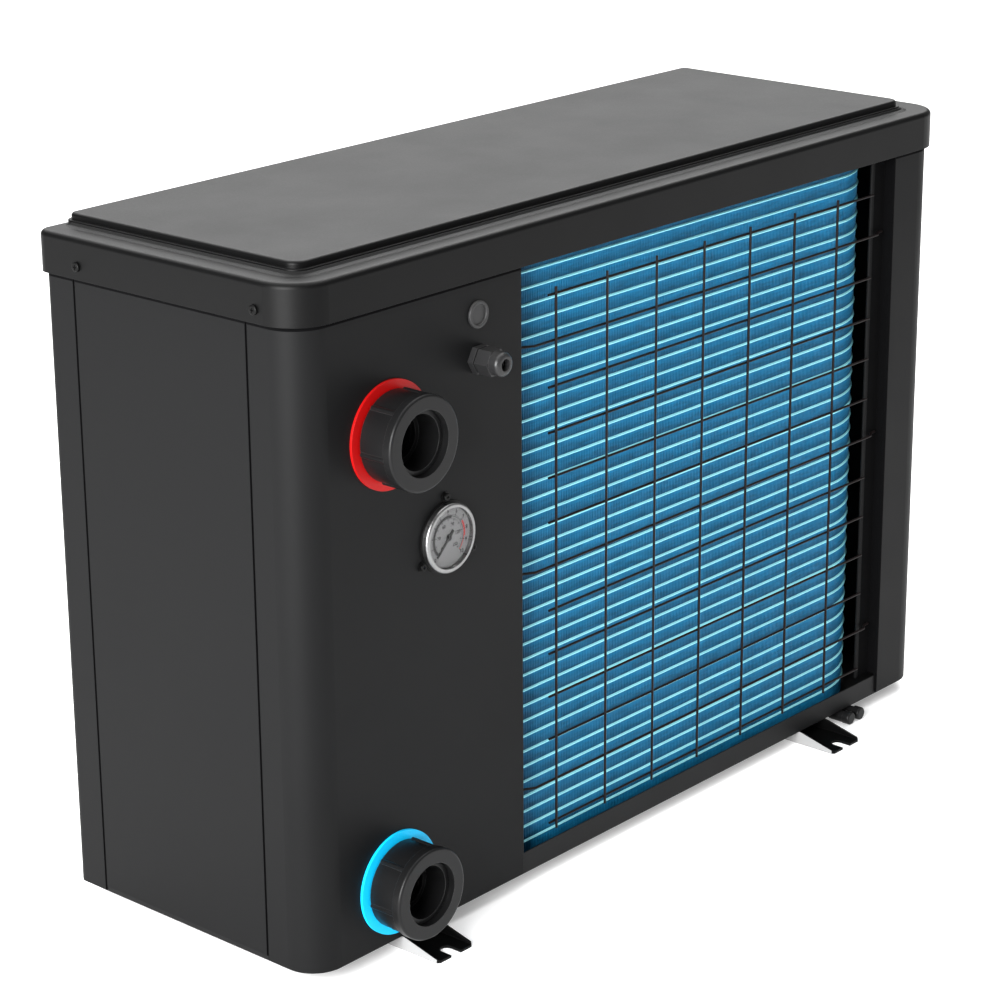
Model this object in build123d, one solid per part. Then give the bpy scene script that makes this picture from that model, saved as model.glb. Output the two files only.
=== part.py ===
"""Air-to-water pool heat pump: a sheet-metal casing on two steel feet, with an L-shaped finned
coil on the rear, a propeller fan at the front, and a compressor chamber at the left end that
holds the compressor, the titanium water heat exchanger and the electrics.

Frame, in millimetres: +Z up, the origin on the ground under the centre of the casing and feet.
-Y is the rear, the side with the coil and the water unions. +Y is the front, the fan side.
-X is the left end seen from the rear, where the compressor chamber is.
"""

from build123d import *
from math import cos, radians, sin
import os

# ---------------------------------------------------------------- driving dimensions
BODY_W = 950.0  # casing over its panels
REAR_Y, FRONT_Y = -165.0, 150.5
REAR_R, FRONT_R = 34.0, 8.0  # the casing's upright corners
SHEET = 1.5  # thickness of the casing panels
FOOT_H = 13.5  # ground to the underside of the base pan
PANEL_Z0 = FOOT_H + SHEET  # lower edge of the panels
SEAM_Z = PANEL_Z0 + 598.0  # lower edge of the lid's skirt
PANEL_Z1 = SEAM_Z + 35.7  # upper edge of the panels, just under the lid's ledge
SEAM_GAP = 1.5  # gap between two neighbouring panels

LID_OVER = 5.0  # the lid overhangs the panels by this much
LID_T = 2.0
LID_LEDGE_Z = SEAM_Z + 38.0
LID_STEP_Z = LID_LEDGE_Z + 4.5
LID_TOP_Z = LID_LEDGE_Z + 10.5

LEFT_X, RIGHT_X = -BODY_W / 2, BODY_W / 2
SERVICE_X = -192.0  # where the service panel ends and the coil begins
POST_X = 397.0  # where the right panel's rear strip begins
SEAM_REAR_Y, SEAM_FRONT_Y = -105.0, 112.0  # the seams on both ends of the casing

PAN_INSET = 2.0  # base pan inside the panels' outer faces
PAN_FLANGE_H = 20.0
CHAMBER_Z0 = FOOT_H + SHEET  # top of the pan's floor

FOOT_X = (-336.5, 281.0)  # centre lines of the two feet
FOOT_W, FOOT_LEN, FOOT_T = 48.0, 416.0, 2.5
SLOT_W, SLOT_LEN = 13.0, 18.0

COIL_REAR_Y, COIL_T = -150.0, 38.0  # rear face and thickness of the fin pack
COIL_BEND_R, COIL_BEND_X = 100.0, 324.0  # outer bend radius, and where the bend starts
COIL_Z0, COIL_Z1 = 19.0, 637.0
COIL_END_Y = 112.0  # front end of the coil's short leg
TUBE_R, TUBE_PITCH, TUBE_COUNT = 4.76, 25.4, 24

FAN_X, FAN_Z, FAN_R = 100.0, 315.0, 205.0
ORIFICE_R = 222.0

UNION_X, OUTLET_Z, INLET_Z = -366.0, 497.5, 72.0
GAUGE_X, GAUGE_Z = -296.0, 385.0
GLAND_X, GLAND_Z = -251.0, 540.0
GROMMET_X, GROMMET_Z = -250.5, 580.5

TANK_X, TANK_Y, TANK_R, TANK_Z0, TANK_Z1 = UNION_X, -35.0, 70.0, 36.0, 540.0
COMP_X, COMP_Y, COMP_R, COMP_Z0, COMP_Z1 = -262.0, 62.0, 58.0, 36.0, 290.0

PIPE_R = 6.0  # refrigerant pipes
CONTROL_X, CONTROL_Z = -330.0, 470.0

os.makedirs("parts", exist_ok=True)


# ---------------------------------------------------------------- helpers
def block(x0, x1, y0, y1, z0, z1):
    """A box between two corners."""
    return Pos((x0 + x1) / 2, (y0 + y1) / 2, (z0 + z1) / 2) * Box(x1 - x0, y1 - y0, z1 - z0)


def rod_x(y, z, x0, x1, r):
    return Pos((x0 + x1) / 2, y, z) * Rot(0, 90, 0) * Cylinder(r, x1 - x0)


def rod_y(x, z, y0, y1, r):
    return Pos(x, (y0 + y1) / 2, z) * Rot(90, 0, 0) * Cylinder(r, y1 - y0)


def rod_z(x, y, z0, z1, r):
    return Pos(x, y, (z0 + z1) / 2) * Cylinder(r, z1 - z0)


def tube_y(x, z, y0, y1, r_out, r_in):
    """A straight tube along Y."""
    return rod_y(x, z, y0, y1, r_out) - rod_y(x, z, y0 - 1, y1 + 1, r_in)


def slab(half_w, rear_y, front_y, rear_r, front_r, z0, z1, taper=0.0):
    """A plate from z0 to z1, centred along X, with one radius on its rear corners and one in front.

    A taper, in degrees, leans its sides inwards on the way up."""
    plan = Pos(0, (rear_y + front_y) / 2) * Rectangle(2 * half_w, front_y - rear_y)
    plan = fillet(plan.vertices().group_by(Axis.Y)[0], rear_r)
    plan = fillet(plan.vertices().group_by(Axis.Y)[-1], front_r)
    return Pos(0, 0, z0) * extrude(plan, z1 - z0, taper=taper)


def casing_slab(grow, z0, z1):
    """A plate with the casing's outline, grown outwards or, if negative, shrunk."""
    return slab(RIGHT_X + grow, REAR_Y - grow, FRONT_Y + grow, REAR_R + grow, FRONT_R + grow, z0, z1)


def wall_ring(inset, thickness, z0, z1):
    """An upright wall that follows the casing's outline, inset from the panels' outer faces."""
    outer = casing_slab(-inset, z0, z1)
    inner = casing_slab(-inset - thickness, z0 - 1, z1 + 1)
    return outer - inner


def hexagon_y(x, z, y0, y1, across_flats):
    """A hexagonal prism along Y."""
    prism = extrude(RegularPolygon(across_flats / 2, 6, major_radius=False), y1 - y0)
    return Pos(x, y1, z) * Rot(90, 0, 0) * prism


def pipe(points, bend_r, r):
    """A round bar along straight runs joined by arcs."""
    path = FilletPolyline(*points, radius=bend_r)
    start = Plane(origin=path @ 0, z_dir=path % 0)
    return sweep(start * Circle(r), path=path)


def polar(radius, degrees):
    return radius * cos(radians(degrees)), radius * sin(radians(degrees))


def save(name, *shapes):
    """Writes one node, whose pieces are the solids of the given shapes."""
    solids = [s for shape in shapes for s in shape.solids()]
    export_step(Compound(children=solids) if len(solids) > 1 else solids[0], f"parts/{name}.step")


# ---------------------------------------------------------------- base pan and feet
def base_pan():
    floor = casing_slab(-PAN_INSET, FOOT_H, CHAMBER_Z0)
    flange = wall_ring(PAN_INSET, SHEET, CHAMBER_Z0 - 0.5, CHAMBER_Z0 + PAN_FLANGE_H)
    pan = floor + flange
    for x in DRAIN_X:
        pan -= rod_z(x, DRAIN_Y, FOOT_H - 1, CHAMBER_Z0 + 1, DRAIN_SPIGOT_R + 0.1)
    return pan


def foot(x):
    """A channel under the pan. Its flanges taper beyond the casing, and both ends have an open slot."""
    half_w, half_l = FOOT_W / 2, FOOT_LEN / 2
    tip_h, tip_cut = 3.0, 3.0
    outline = [(-half_l, 0), (half_l, 0), (half_l, tip_h)]
    outline += [(FRONT_Y, FOOT_H), (REAR_Y, FOOT_H), (-half_l, tip_h)]
    side = Polygon(*outline, align=None)
    channel = extrude(Plane.YZ.offset(x - half_w) * side, FOOT_W)
    channel -= block(x - half_w + FOOT_T, x + half_w - FOOT_T, -half_l - 1, half_l + 1, FOOT_T, FOOT_H + 1)
    for end in (-1, 1):
        slot_y = end * (half_l - SLOT_LEN + SLOT_W / 2)
        channel -= rod_z(x, slot_y, -1, FOOT_H, SLOT_W / 2)
        y0, y1 = sorted((slot_y, end * (half_l + 1)))
        channel -= block(x - SLOT_W / 2, x + SLOT_W / 2, y0, y1, -1, FOOT_H)
        for side_sign in (-1, 1):
            corner = Pos(x + side_sign * half_w, end * half_l, 0) * Rot(0, 0, 45)
            channel -= corner * Box(tip_cut * 1.414, tip_cut * 1.414, 2 * FOOT_H)
    return channel


DRAIN_X, DRAIN_Y = (335.0, 353.0), -150.0
DRAIN_SPIGOT_R, DRAIN_OUTLET_Z = 5.5, 6.6


def drain_elbow(x):
    """A condensate drain: a spigot up into the pan's hole, and an outlet turned to the rear with a collar."""
    spigot = rod_z(x, DRAIN_Y, DRAIN_OUTLET_Z, CHAMBER_Z0 + 2, DRAIN_SPIGOT_R)
    shoulder = rod_z(x, DRAIN_Y, DRAIN_OUTLET_Z, FOOT_H, 6.4)
    outlet = rod_y(x, DRAIN_OUTLET_Z, REAR_Y - 4, DRAIN_Y, 6.0)
    collar = rod_y(x, DRAIN_OUTLET_Z + 0.6, REAR_Y - 12, REAR_Y - 3, 7.0)
    collar = fillet(collar.edges().group_by(Axis.Y)[0], 2.0)
    elbow = spigot + shoulder + outlet + collar
    elbow -= rod_y(x, DRAIN_OUTLET_Z, REAR_Y - 8, DRAIN_Y, 3.6)
    elbow -= rod_z(x, DRAIN_Y, DRAIN_OUTLET_Z, CHAMBER_Z0 + 3, 3.6)
    return elbow


# ---------------------------------------------------------------- casing panels and lid
SCREW_R, SCREW_HEAD_R, SCREW_HEAD_H = 2.0, 4.6, 2.4
LID_SCREW_X = BODY_W / 2 + LID_OVER
LID_SCREWS = [(sx * LID_SCREW_X, y, SEAM_Z + 12.0) for sx in (-1, 1) for y in (-121.0, 101.0)]
HALF_GAP = SEAM_GAP / 2


def panel_ring():
    """The casing's four walls before they are cut into panels, with the holes for the lid's screws."""
    ring = wall_ring(0, SHEET, PANEL_Z0, PANEL_Z1)
    for x, y, z in LID_SCREWS:
        ring -= rod_x(y, z, min(x, 0), max(x, 0), SCREW_R + 0.2)
    return ring


PANEL_RING = panel_ring()


def service_panel():
    """The rear-left panel: it wraps the corner, carries all the connections, and turns in at the coil."""
    panel = PANEL_RING & block(LEFT_X, SERVICE_X, REAR_Y, SEAM_REAR_Y - HALF_GAP, PANEL_Z0, PANEL_Z1)
    panel += block(SERVICE_X - SHEET, SERVICE_X, REAR_Y, REAR_Y + 12, PANEL_Z0 + PAN_FLANGE_H + 3, PANEL_Z1)
    for z in (OUTLET_Z, INLET_Z):
        panel -= rod_y(UNION_X, z, REAR_Y - 5, REAR_Y + 5, UNION_THREAD_R + 0.5)
    panel -= rod_y(GAUGE_X, GAUGE_Z, REAR_Y - 5, REAR_Y + 5, GAUGE_CASE_R + 0.5)
    panel -= rod_y(GLAND_X, GLAND_Z, REAR_Y - 5, REAR_Y + 5, GLAND_THREAD_R + 0.2)
    panel -= rod_y(GROMMET_X, GROMMET_Z, REAR_Y - 5, REAR_Y + 5, GROMMET_R + 0.2)
    return panel


def left_panel():
    """The left end. It stops short of the others below, where the pan's flange shows."""
    z0 = PANEL_Z0 + 4.0
    y0, y1 = SEAM_REAR_Y + HALF_GAP, SEAM_FRONT_Y - HALF_GAP
    return PANEL_RING & block(LEFT_X, LEFT_X + 5, y0, y1, z0, PANEL_Z1)


def front_panel():
    """The fan side. It wraps both front corners and turns in round the fan as a bell mouth."""
    panel = PANEL_RING & block(LEFT_X, RIGHT_X, SEAM_FRONT_Y + HALF_GAP, FRONT_Y, PANEL_Z0, PANEL_Z1)
    mouth_y0 = FRONT_Y - SHEET - 24
    panel -= rod_y(FAN_X, FAN_Z, mouth_y0, FRONT_Y + 1, ORIFICE_R)
    return panel + tube_y(FAN_X, FAN_Z, mouth_y0, FRONT_Y - SHEET / 2, ORIFICE_R + SHEET, ORIFICE_R)


LIP_W, LIP_DEPTH, LIP_HEM_R = 22.0, 12.0, 1.9  # the inner edge of the rear strip
LOUVRE_ROWS, LOUVRE_PITCH, LOUVRE_LEN, LOUVRE_H = 17, 31.0, 66.0, 9.0


def right_panel():
    """The right end: air slots beside the coil, and a rear strip that turns in as a hemmed lip."""
    ring = PANEL_RING & block(POST_X, RIGHT_X, REAR_Y, SEAM_FRONT_Y - HALF_GAP, PANEL_Z0, PANEL_Z1)
    z0 = CHAMBER_Z0 + PAN_FLANGE_H + 1
    inward = block(POST_X, POST_X + SHEET, REAR_Y, REAR_Y + LIP_DEPTH + SHEET, z0, PANEL_Z1)
    y0, y1 = REAR_Y + LIP_DEPTH, REAR_Y + LIP_DEPTH + SHEET
    lip = block(POST_X - LIP_W, POST_X + SHEET, y0, y1, z0, PANEL_Z1)
    hem = rod_z(POST_X - LIP_W, (y0 + y1) / 2, z0, PANEL_Z1, LIP_HEM_R)
    panel = ring + inward + lip + hem
    slots = Sketch()
    z_first = PANEL_Z0 + 50
    for column_y in (-4.0, 70.0):
        for row in range(LOUVRE_ROWS):
            slots += Pos(column_y, z_first + row * LOUVRE_PITCH) * SlotOverall(LOUVRE_LEN, LOUVRE_H)
    return panel - extrude(Plane.YZ.offset(RIGHT_X - 5) * slots, 10)


RAISED_X, RAISED_HALF_W, RAISED_REAR_Y, RAISED_FRONT_Y = -3.0, 445.0, -140.0, 147.0  # the lid's centre
STEP_OUT = 3.0  # the step round it stands out by this much
COVE = ((8.0, 1.2, 72.0), (4.6, 3.0, 50.0))  # how far out, how high and how steep, from the ledge up


def lid():
    """A pressed tray upside down: skirt, ledge, and a raised centre with a small step and a cove round it."""

    def raised(out, rear_r, front_r, z0, z1, taper=0.0):
        """A plate with the raised centre's outline, grown outwards, though hardly in front."""
        front_y = RAISED_FRONT_Y + min(out, 2.0)
        plate = slab(RAISED_HALF_W + out, RAISED_REAR_Y - out, front_y, rear_r, front_r, z0, z1, taper)
        return Pos(RAISED_X, 0, 0) * plate

    def solid(inner):
        """The lid's outside (inner 0), or its inside, a sheet's thickness further in."""
        skirt = casing_slab(LID_OVER - inner, SEAM_Z - inner, LID_LEDGE_Z - inner)
        step = raised(STEP_OUT - inner, 16 - inner, 9 - inner, LID_LEDGE_Z - 8, LID_STEP_Z - inner)
        top = raised(-inner, 14 - inner, 8 - inner, LID_LEDGE_Z - 8, LID_TOP_Z - inner)
        skirt = fillet(skirt.faces().sort_by(Axis.Z)[-1].edges(), 5 - inner)
        step = fillet(step.faces().sort_by(Axis.Z)[-1].edges(), 1.0)
        top = fillet(top.faces().sort_by(Axis.Z)[-1].edges(), 3.0)
        return skirt + step + top

    cover = solid(0)
    for out, height, taper in COVE:
        cover += raised(STEP_OUT + out, 16 + out, 9 + out, LID_LEDGE_Z - 0.2, LID_LEDGE_Z + height, taper)
    cover -= solid(LID_T)
    for x, y, z in LID_SCREWS:
        cover -= rod_x(y, z, min(x, 0), max(x, 0), SCREW_R + 0.2)
    return cover


GAUGE_LUG_R, GAUGE_LUG_ANGLES = 38.0, (91.0, 211.0, 331.0)
GUARD_SCREW_R = 236.0


def screw_x(x, y, z):
    """A pan-head screw driven in from an end of the casing, towards the middle."""
    out = 1 if x > 0 else -1
    head_x0, head_x1 = sorted((x, x + out * SCREW_HEAD_H))
    head = rod_x(y, z, head_x0, head_x1, SCREW_HEAD_R)
    head = fillet(head.edges().group_by(Axis.X)[-1 if out > 0 else 0], 1.2)
    shank_x0, shank_x1 = sorted((x, x - out * (LID_OVER + SHEET + 2)))
    recess = Pos(x + out * SCREW_HEAD_H, y, z) * (Box(2.4, 4.4, 1.0) + Box(2.4, 1.0, 4.4))
    return head + rod_x(y, z, shank_x0, shank_x1, SCREW_R) - recess


def screw_y(x, y, z, out, shank):
    """A pan-head screw whose head stands on a face at y, with its shank going the other way."""
    head_y0, head_y1 = sorted((y, y + out * SCREW_HEAD_H))
    head = rod_y(x, z, head_y0, head_y1, SCREW_HEAD_R - 1)
    head = fillet(head.edges().group_by(Axis.Y)[-1 if out > 0 else 0], 0.9)
    shank_y0, shank_y1 = sorted((y, y - out * shank))
    recess = Pos(x, y + out * SCREW_HEAD_H, z) * (Box(3.6, 2.0, 0.9) + Box(0.9, 2.0, 3.6))
    return head + rod_y(x, z, shank_y0, shank_y1, SCREW_R - 0.3) - recess


def casing_screws():
    screws = [screw_x(*place) for place in LID_SCREWS]
    for angle in GAUGE_LUG_ANGLES:
        dx, dz = polar(GAUGE_LUG_R, angle)
        screws.append(screw_y(GAUGE_X + dx, REAR_Y - 1.6, GAUGE_Z + dz, -1, 1.4))
    for angle in (45.0, 135.0, 225.0, 315.0):
        dx, dz = polar(GUARD_SCREW_R, angle)
        screws.append(screw_y(FAN_X + dx, FRONT_Y + 4.0, FAN_Z + dz, 1, 3.8))
    return screws


# ---------------------------------------------------------------- coil guard, partition, fan guard
WIRE_R = 1.25
GUARD_X0, GUARD_PITCH_X, GUARD_COLUMNS = -142.0, 73.5, 7
GUARD_Z0, GUARD_PITCH_Z, GUARD_ROWS = 52.0, 43.7, 13
GUARD_LONG_ROWS = (1, 6, 11)  # rows, counted from the bottom, whose ends hook into the panels
GUARD_Y = REAR_Y + 1.6


def coil_guard():
    """A welded wire guard: upright wires outside, level wires behind them, some hooked at both ends."""
    top = GUARD_Z0 + (GUARD_ROWS - 1) * GUARD_PITCH_Z
    columns = [GUARD_X0 + i * GUARD_PITCH_X for i in range(GUARD_COLUMNS)]
    wires = [rod_z(x, GUARD_Y, GUARD_Z0 - 7, top + 7, WIRE_R) for x in columns]
    level_y = GUARD_Y + 2 * WIRE_R - 0.3
    for row in range(GUARD_ROWS):
        z = GUARD_Z0 + row * GUARD_PITCH_Z
        if row in GUARD_LONG_ROWS:
            x0, x1 = SERVICE_X + 1.5, POST_X - 6
            hook_y = REAR_Y + 9.5
            points = [(x0, hook_y, z), (x0 + 11, hook_y, z), (x0 + 21, level_y, z)]
            points += [(x1 - 16, level_y, z), (x1 - 7, hook_y, z), (x1, hook_y, z)]
            wires.append(pipe(points, 4.0, WIRE_R))
        else:
            wires.append(rod_x(level_y, z, GUARD_X0 - 8, POST_X - 32, WIRE_R))
    return wires[0].fuse(*wires[1:])


def partition():
    """The wall between the compressor chamber and the fan chamber, with a stiffening fold at its foot."""
    x = SERVICE_X - SHEET
    y0, y1 = COIL_REAR_Y + COIL_T + 4, FRONT_Y - PAN_INSET - SHEET - 0.5
    wall = block(x, SERVICE_X, y0, y1, CHAMBER_Z0, PANEL_Z1 - 3)
    return wall + block(x, SERVICE_X + 14, y0, y1, CHAMBER_Z0, CHAMBER_Z0 + SHEET)


GUARD_OUT_R, GUARD_DOME = 244.0, 14.0


def fan_guard():
    """A moulded guard: a rim that stands on the front panel, level rings and spokes in front of the fan."""
    rim_y0, bar_y0, bar_y1 = FRONT_Y, FRONT_Y + GUARD_DOME, FRONT_Y + GUARD_DOME + 4
    bars = Circle(34)
    for ring in range(12):
        radius = 48 + ring * 15.2
        bars += Circle(radius + 1.6) - Circle(radius - 1.6)
    for spoke in range(12):
        bars += Rot(0, 0, spoke * 30) * Pos(126, 0) * Rectangle(200, 4.0)
    plane = Plane(origin=(FAN_X, bar_y1, FAN_Z), x_dir=(1, 0, 0), z_dir=(0, 1, 0))
    grid = extrude(plane * bars, -(bar_y1 - bar_y0))
    cone_outer = Pos(FAN_X, (rim_y0 + bar_y1) / 2, FAN_Z) * Rot(-90, 0, 0) * Cone(234, 222, bar_y1 - rim_y0)
    cone_inner = Pos(FAN_X, (rim_y0 + bar_y1) / 2, FAN_Z) * Rot(-90, 0, 0) * Cone(230, 218, bar_y1 - rim_y0)
    rim = tube_y(FAN_X, FAN_Z, rim_y0, rim_y0 + 4, GUARD_OUT_R, 230)
    guard = grid + (cone_outer - cone_inner) + rim
    for angle in (45.0, 135.0, 225.0, 315.0):
        dx, dz = polar(GUARD_SCREW_R, angle)
        guard -= rod_y(FAN_X + dx, FAN_Z + dz, rim_y0 - 1, rim_y0 + 5, SCREW_R)
        guard -= rod_y(FAN_X + dx, FAN_Z + dz, rim_y0 + 4, rim_y0 + 30, SCREW_HEAD_R + 0.2)
    return guard


# ---------------------------------------------------------------- coil
COIL_INNER_R = COIL_BEND_R - COIL_T
COIL_BEND_Y = COIL_REAR_Y + COIL_BEND_R
COIL_RIGHT_X = COIL_BEND_X + COIL_BEND_R
COIL_LEFT_X = SERVICE_X - 8.0
PLATE_T = 1.5
TUBE_Z0 = COIL_Z0 + 17.0


def coil_band(rear_y, thickness, x0, y1):
    """The coil's plan: a long leg along the rear, a round bend, and a short leg along the right end."""
    mid_r = COIL_BEND_R - (rear_y - COIL_REAR_Y) - thickness / 2
    mid_y = rear_y + thickness / 2
    line = FilletPolyline((x0, mid_y), (COIL_BEND_X + mid_r, mid_y), (COIL_BEND_X + mid_r, y1), radius=mid_r)
    across = Plane(origin=(x0, mid_y, 0), x_dir=(0, 1, 0), z_dir=(1, 0, 0))
    profile = across * Rectangle(thickness, COIL_Z1 - COIL_Z0)
    return Pos(0, 0, (COIL_Z0 + COIL_Z1) / 2) * sweep(profile, path=line)


def coil_fins():
    return coil_band(COIL_REAR_Y, COIL_T, COIL_LEFT_X, COIL_END_Y)


def coil_end_plates():
    """The plates that hold the tubes, one at each end of the fin pack."""
    rear = block(COIL_LEFT_X - PLATE_T, COIL_LEFT_X, COIL_REAR_Y - 1, COIL_REAR_Y + COIL_T + 1,
                 CHAMBER_Z0, COIL_Z1 + 2)
    front = block(COIL_RIGHT_X - COIL_T - 1, COIL_RIGHT_X + 1, COIL_END_Y, COIL_END_Y + PLATE_T,
                  CHAMBER_Z0, COIL_Z1 + 2)
    return [rear, front]


def coil_return_bends():
    """U-bends brazed on the tubes where they leave the end plates, and the two open tube ends."""
    tube_y_mid = COIL_REAR_Y + COIL_T / 2
    tube_x_mid = COIL_RIGHT_X - COIL_T / 2
    left_x, front_y = COIL_LEFT_X - PLATE_T, COIL_END_Y + PLATE_T
    bends, leg = [], TUBE_PITCH / 2 + 5
    for tube in range(TUBE_COUNT - 1):
        z0 = TUBE_Z0 + tube * TUBE_PITCH
        z1 = z0 + TUBE_PITCH
        if tube % 2:
            points = [(left_x, tube_y_mid, z0), (left_x - leg, tube_y_mid, z0)]
            points += [(left_x - leg, tube_y_mid, z1), (left_x, tube_y_mid, z1)]
        else:
            points = [(tube_x_mid, front_y, z0), (tube_x_mid, front_y + leg, z0)]
            points += [(tube_x_mid, front_y + leg, z1), (tube_x_mid, front_y, z1)]
        bends.append(pipe(points, TUBE_PITCH / 2 - 0.2, TUBE_R))
    return bends


# ---------------------------------------------------------------- fan and motor
MOTOR_Y0, MOTOR_Y1, MOTOR_R, SHAFT_R = -74.0, 14.0, 58.0, 6.0
HUB_Y0, HUB_Y1, HUB_R = 50.0, 116.0, 52.0


def fan_motor():
    body = fillet(rod_y(FAN_X, FAN_Z, MOTOR_Y0, MOTOR_Y1, MOTOR_R).edges(), 6)
    nose = rod_y(FAN_X, FAN_Z, MOTOR_Y1 - 1, MOTOR_Y1 + 8, 20)
    ears = []
    for sx in (-1, 1):
        x = FAN_X + sx * 48
        ears.append(block(x - 12, x + 12, MOTOR_Y0 + 6, MOTOR_Y0 + 10, FAN_Z - 60, FAN_Z + 60))
    motor = body.fuse(nose, *ears)
    return motor - rod_y(FAN_X, FAN_Z, MOTOR_Y0 + 14, MOTOR_Y1 + 9, SHAFT_R + 0.1)


def fan_bracket():
    """Two uprights from the pan to under the lid, tied at the top and bottom, which the motor bolts to."""
    y1 = MOTOR_Y0 + 6
    y0 = y1 - 18
    uprights = []
    for sx in (-1, 1):
        x = FAN_X + sx * 48
        upright = block(x - 13, x + 13, y0, y1, CHAMBER_Z0, PANEL_Z1 - 6)
        pocket_x0, pocket_x1 = x - 13 + 1.5, x + 13 - 1.5
        upright -= block(pocket_x0, pocket_x1, y0 - 1, y1 - 1.5, CHAMBER_Z0 + 1.5, PANEL_Z1)
        uprights.append(upright)
    top_tie = block(FAN_X - 61, FAN_X + 61, y1 - 1.5, y1, PANEL_Z1 - 60, PANEL_Z1 - 6)
    foot_tie = block(FAN_X - 61, FAN_X + 61, y0, y1 + 20, CHAMBER_Z0, CHAMBER_Z0 + 1.5)
    bracket = uprights[0].fuse(uprights[1], top_tie, foot_tie)
    return bracket - rod_y(FAN_X, FAN_Z, y0 - 1, y1 + 1, MOTOR_R + 0.5)


def fan_shaft():
    shaft = rod_y(FAN_X, FAN_Z, MOTOR_Y0 + 15, HUB_Y1 + 14, SHAFT_R)
    flat_z = FAN_Z + SHAFT_R - 1.2
    return shaft - block(FAN_X - SHAFT_R, FAN_X + SHAFT_R, HUB_Y0 - 2, HUB_Y1 + 15, flat_z, FAN_Z + 9)


BLADE_T = 3.2
BLADE_SECTIONS = ((HUB_R - 3, 66, 48, 0), (120, 118, 36, 8), (FAN_R - 2, 150, 27, 14))


def fan_blade():
    """A moulded three-bladed propeller: each blade is a twisted loft from the hub to the tip."""
    hub = fillet(rod_y(FAN_X, FAN_Z, HUB_Y0, HUB_Y1, HUB_R).edges().group_by(Axis.Y)[-1], 8)
    hub -= rod_y(FAN_X, FAN_Z, HUB_Y0 - 1, HUB_Y1 - 6, HUB_R - 4)
    boss = rod_y(FAN_X, FAN_Z, HUB_Y0 + 6, HUB_Y1 - 1, 14)
    fan = hub + boss
    mid_y = (HUB_Y0 + HUB_Y1) / 2
    sections = []
    for radius, chord, pitch, lean in BLADE_SECTIONS:
        level = Plane(origin=(FAN_X, mid_y - lean / 3, FAN_Z + radius), x_dir=(1, 0, 0), z_dir=(0, 0, 1))
        sections.append(level * (Pos(lean, 0) * Rot(0, 0, pitch) * SlotOverall(chord, BLADE_T)))
    vane = loft(sections)
    for blade in range(3):
        fan += Pos(FAN_X, 0, FAN_Z) * Rot(0, blade * 120, 0) * Pos(-FAN_X, 0, -FAN_Z) * vane
    bore = rod_y(FAN_X, FAN_Z, HUB_Y0 - 1, HUB_Y1 + 1, SHAFT_R + 0.05)
    flat_z = FAN_Z + SHAFT_R - 1.2 + 0.05
    bore -= block(FAN_X - 9, FAN_X + 9, HUB_Y0 - 2, HUB_Y1 + 2, flat_z, FAN_Z + 9)
    return fan - bore


def fan_nut():
    nut = hexagon_y(FAN_X, FAN_Z, HUB_Y1 + 0.2, HUB_Y1 + 8, 19)
    return nut - rod_y(FAN_X, FAN_Z, HUB_Y1 - 1, HUB_Y1 + 9, SHAFT_R + 0.03)


# ---------------------------------------------------------------- compressor
def compressor_shell():
    """The welded can with its foot plate, and the suction accumulator strapped to its side."""
    can = rod_z(COMP_X, COMP_Y, COMP_Z0, COMP_Z1, COMP_R)
    can = fillet(can.edges().group_by(Axis.Z)[0], 8)
    can -= rod_z(COMP_X, COMP_Y, COMP_Z0 + 4, COMP_Z1 + 1, COMP_R - 4)
    plate = Plane.XY.offset(COMP_Z0 - 3) * Circle(COMP_R - 6)
    for angle in COMP_FOOT_ANGLES:
        dx, dy = polar(COMP_FOOT_R, angle)
        arm = Rot(0, 0, angle) * Rectangle(COMP_FOOT_R, 26)
        plate += Pos(dx, dy, COMP_Z0 - 3) * Circle(13)
        plate += Pos(dx / 2, dy / 2, COMP_Z0 - 3) * arm
    plate = Pos(COMP_X, COMP_Y, 0) * extrude(plate, 3.5)
    for angle in COMP_FOOT_ANGLES:
        dx, dy = polar(COMP_FOOT_R, angle)
        plate -= rod_z(COMP_X + dx, COMP_Y + dy, COMP_Z0 - 5, COMP_Z0 + 2, 9.2)
    bottle = fillet(rod_z(ACCU_X, ACCU_Y, 120, 300, ACCU_R).edges(), 12)
    ux, uy = polar(1, ACCU_ANGLE)
    strap_r = COMP_R + 5
    strap = Pos(COMP_X + ux * strap_r, COMP_Y + uy * strap_r, 215) * Rot(0, 0, ACCU_ANGLE) * Box(14, 16, 30)
    near = COMP_R - 2
    points = [(ACCU_X, ACCU_Y, 122), (ACCU_X, ACCU_Y, 85), (COMP_X + ux * near, COMP_Y + uy * near, 85)]
    return can.fuse(plate, bottle, strap, pipe(points, 18, 8))


CRANK_R = 9.0
COMP_FOOT_R, COMP_FOOT_ANGLES = 70.0, (60.0, 180.0, 300.0)
ACCU_X, ACCU_Y, ACCU_R, ACCU_ANGLE = -342.0, 108.0, 24.0, 150.1


def compressor_cap():
    cap = fillet(rod_z(COMP_X, COMP_Y, COMP_Z1, COMP_Z1 + 26, COMP_R).edges().group_by(Axis.Z)[-1], 20)
    cap -= rod_z(COMP_X, COMP_Y, COMP_Z1 - 1, COMP_Z1 + 8, COMP_R - 8)
    terminal = rod_z(COMP_X + 26, COMP_Y + 20, COMP_Z1 + 10, COMP_Z1 + 32, 14)
    return cap + terminal


def compressor_pump():
    """The cylinder block with both bearings, round the chamber that the eccentric sweeps."""
    pump = rod_z(COMP_X, COMP_Y, COMP_Z0 + 28, COMP_Z0 + 78, COMP_R - 4.2)
    pump -= rod_z(COMP_X, COMP_Y, COMP_Z0 + 39, COMP_Z0 + 67, 24.5)
    return pump - rod_z(COMP_X, COMP_Y, COMP_Z0, COMP_Z1, CRANK_R + 0.05)


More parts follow.
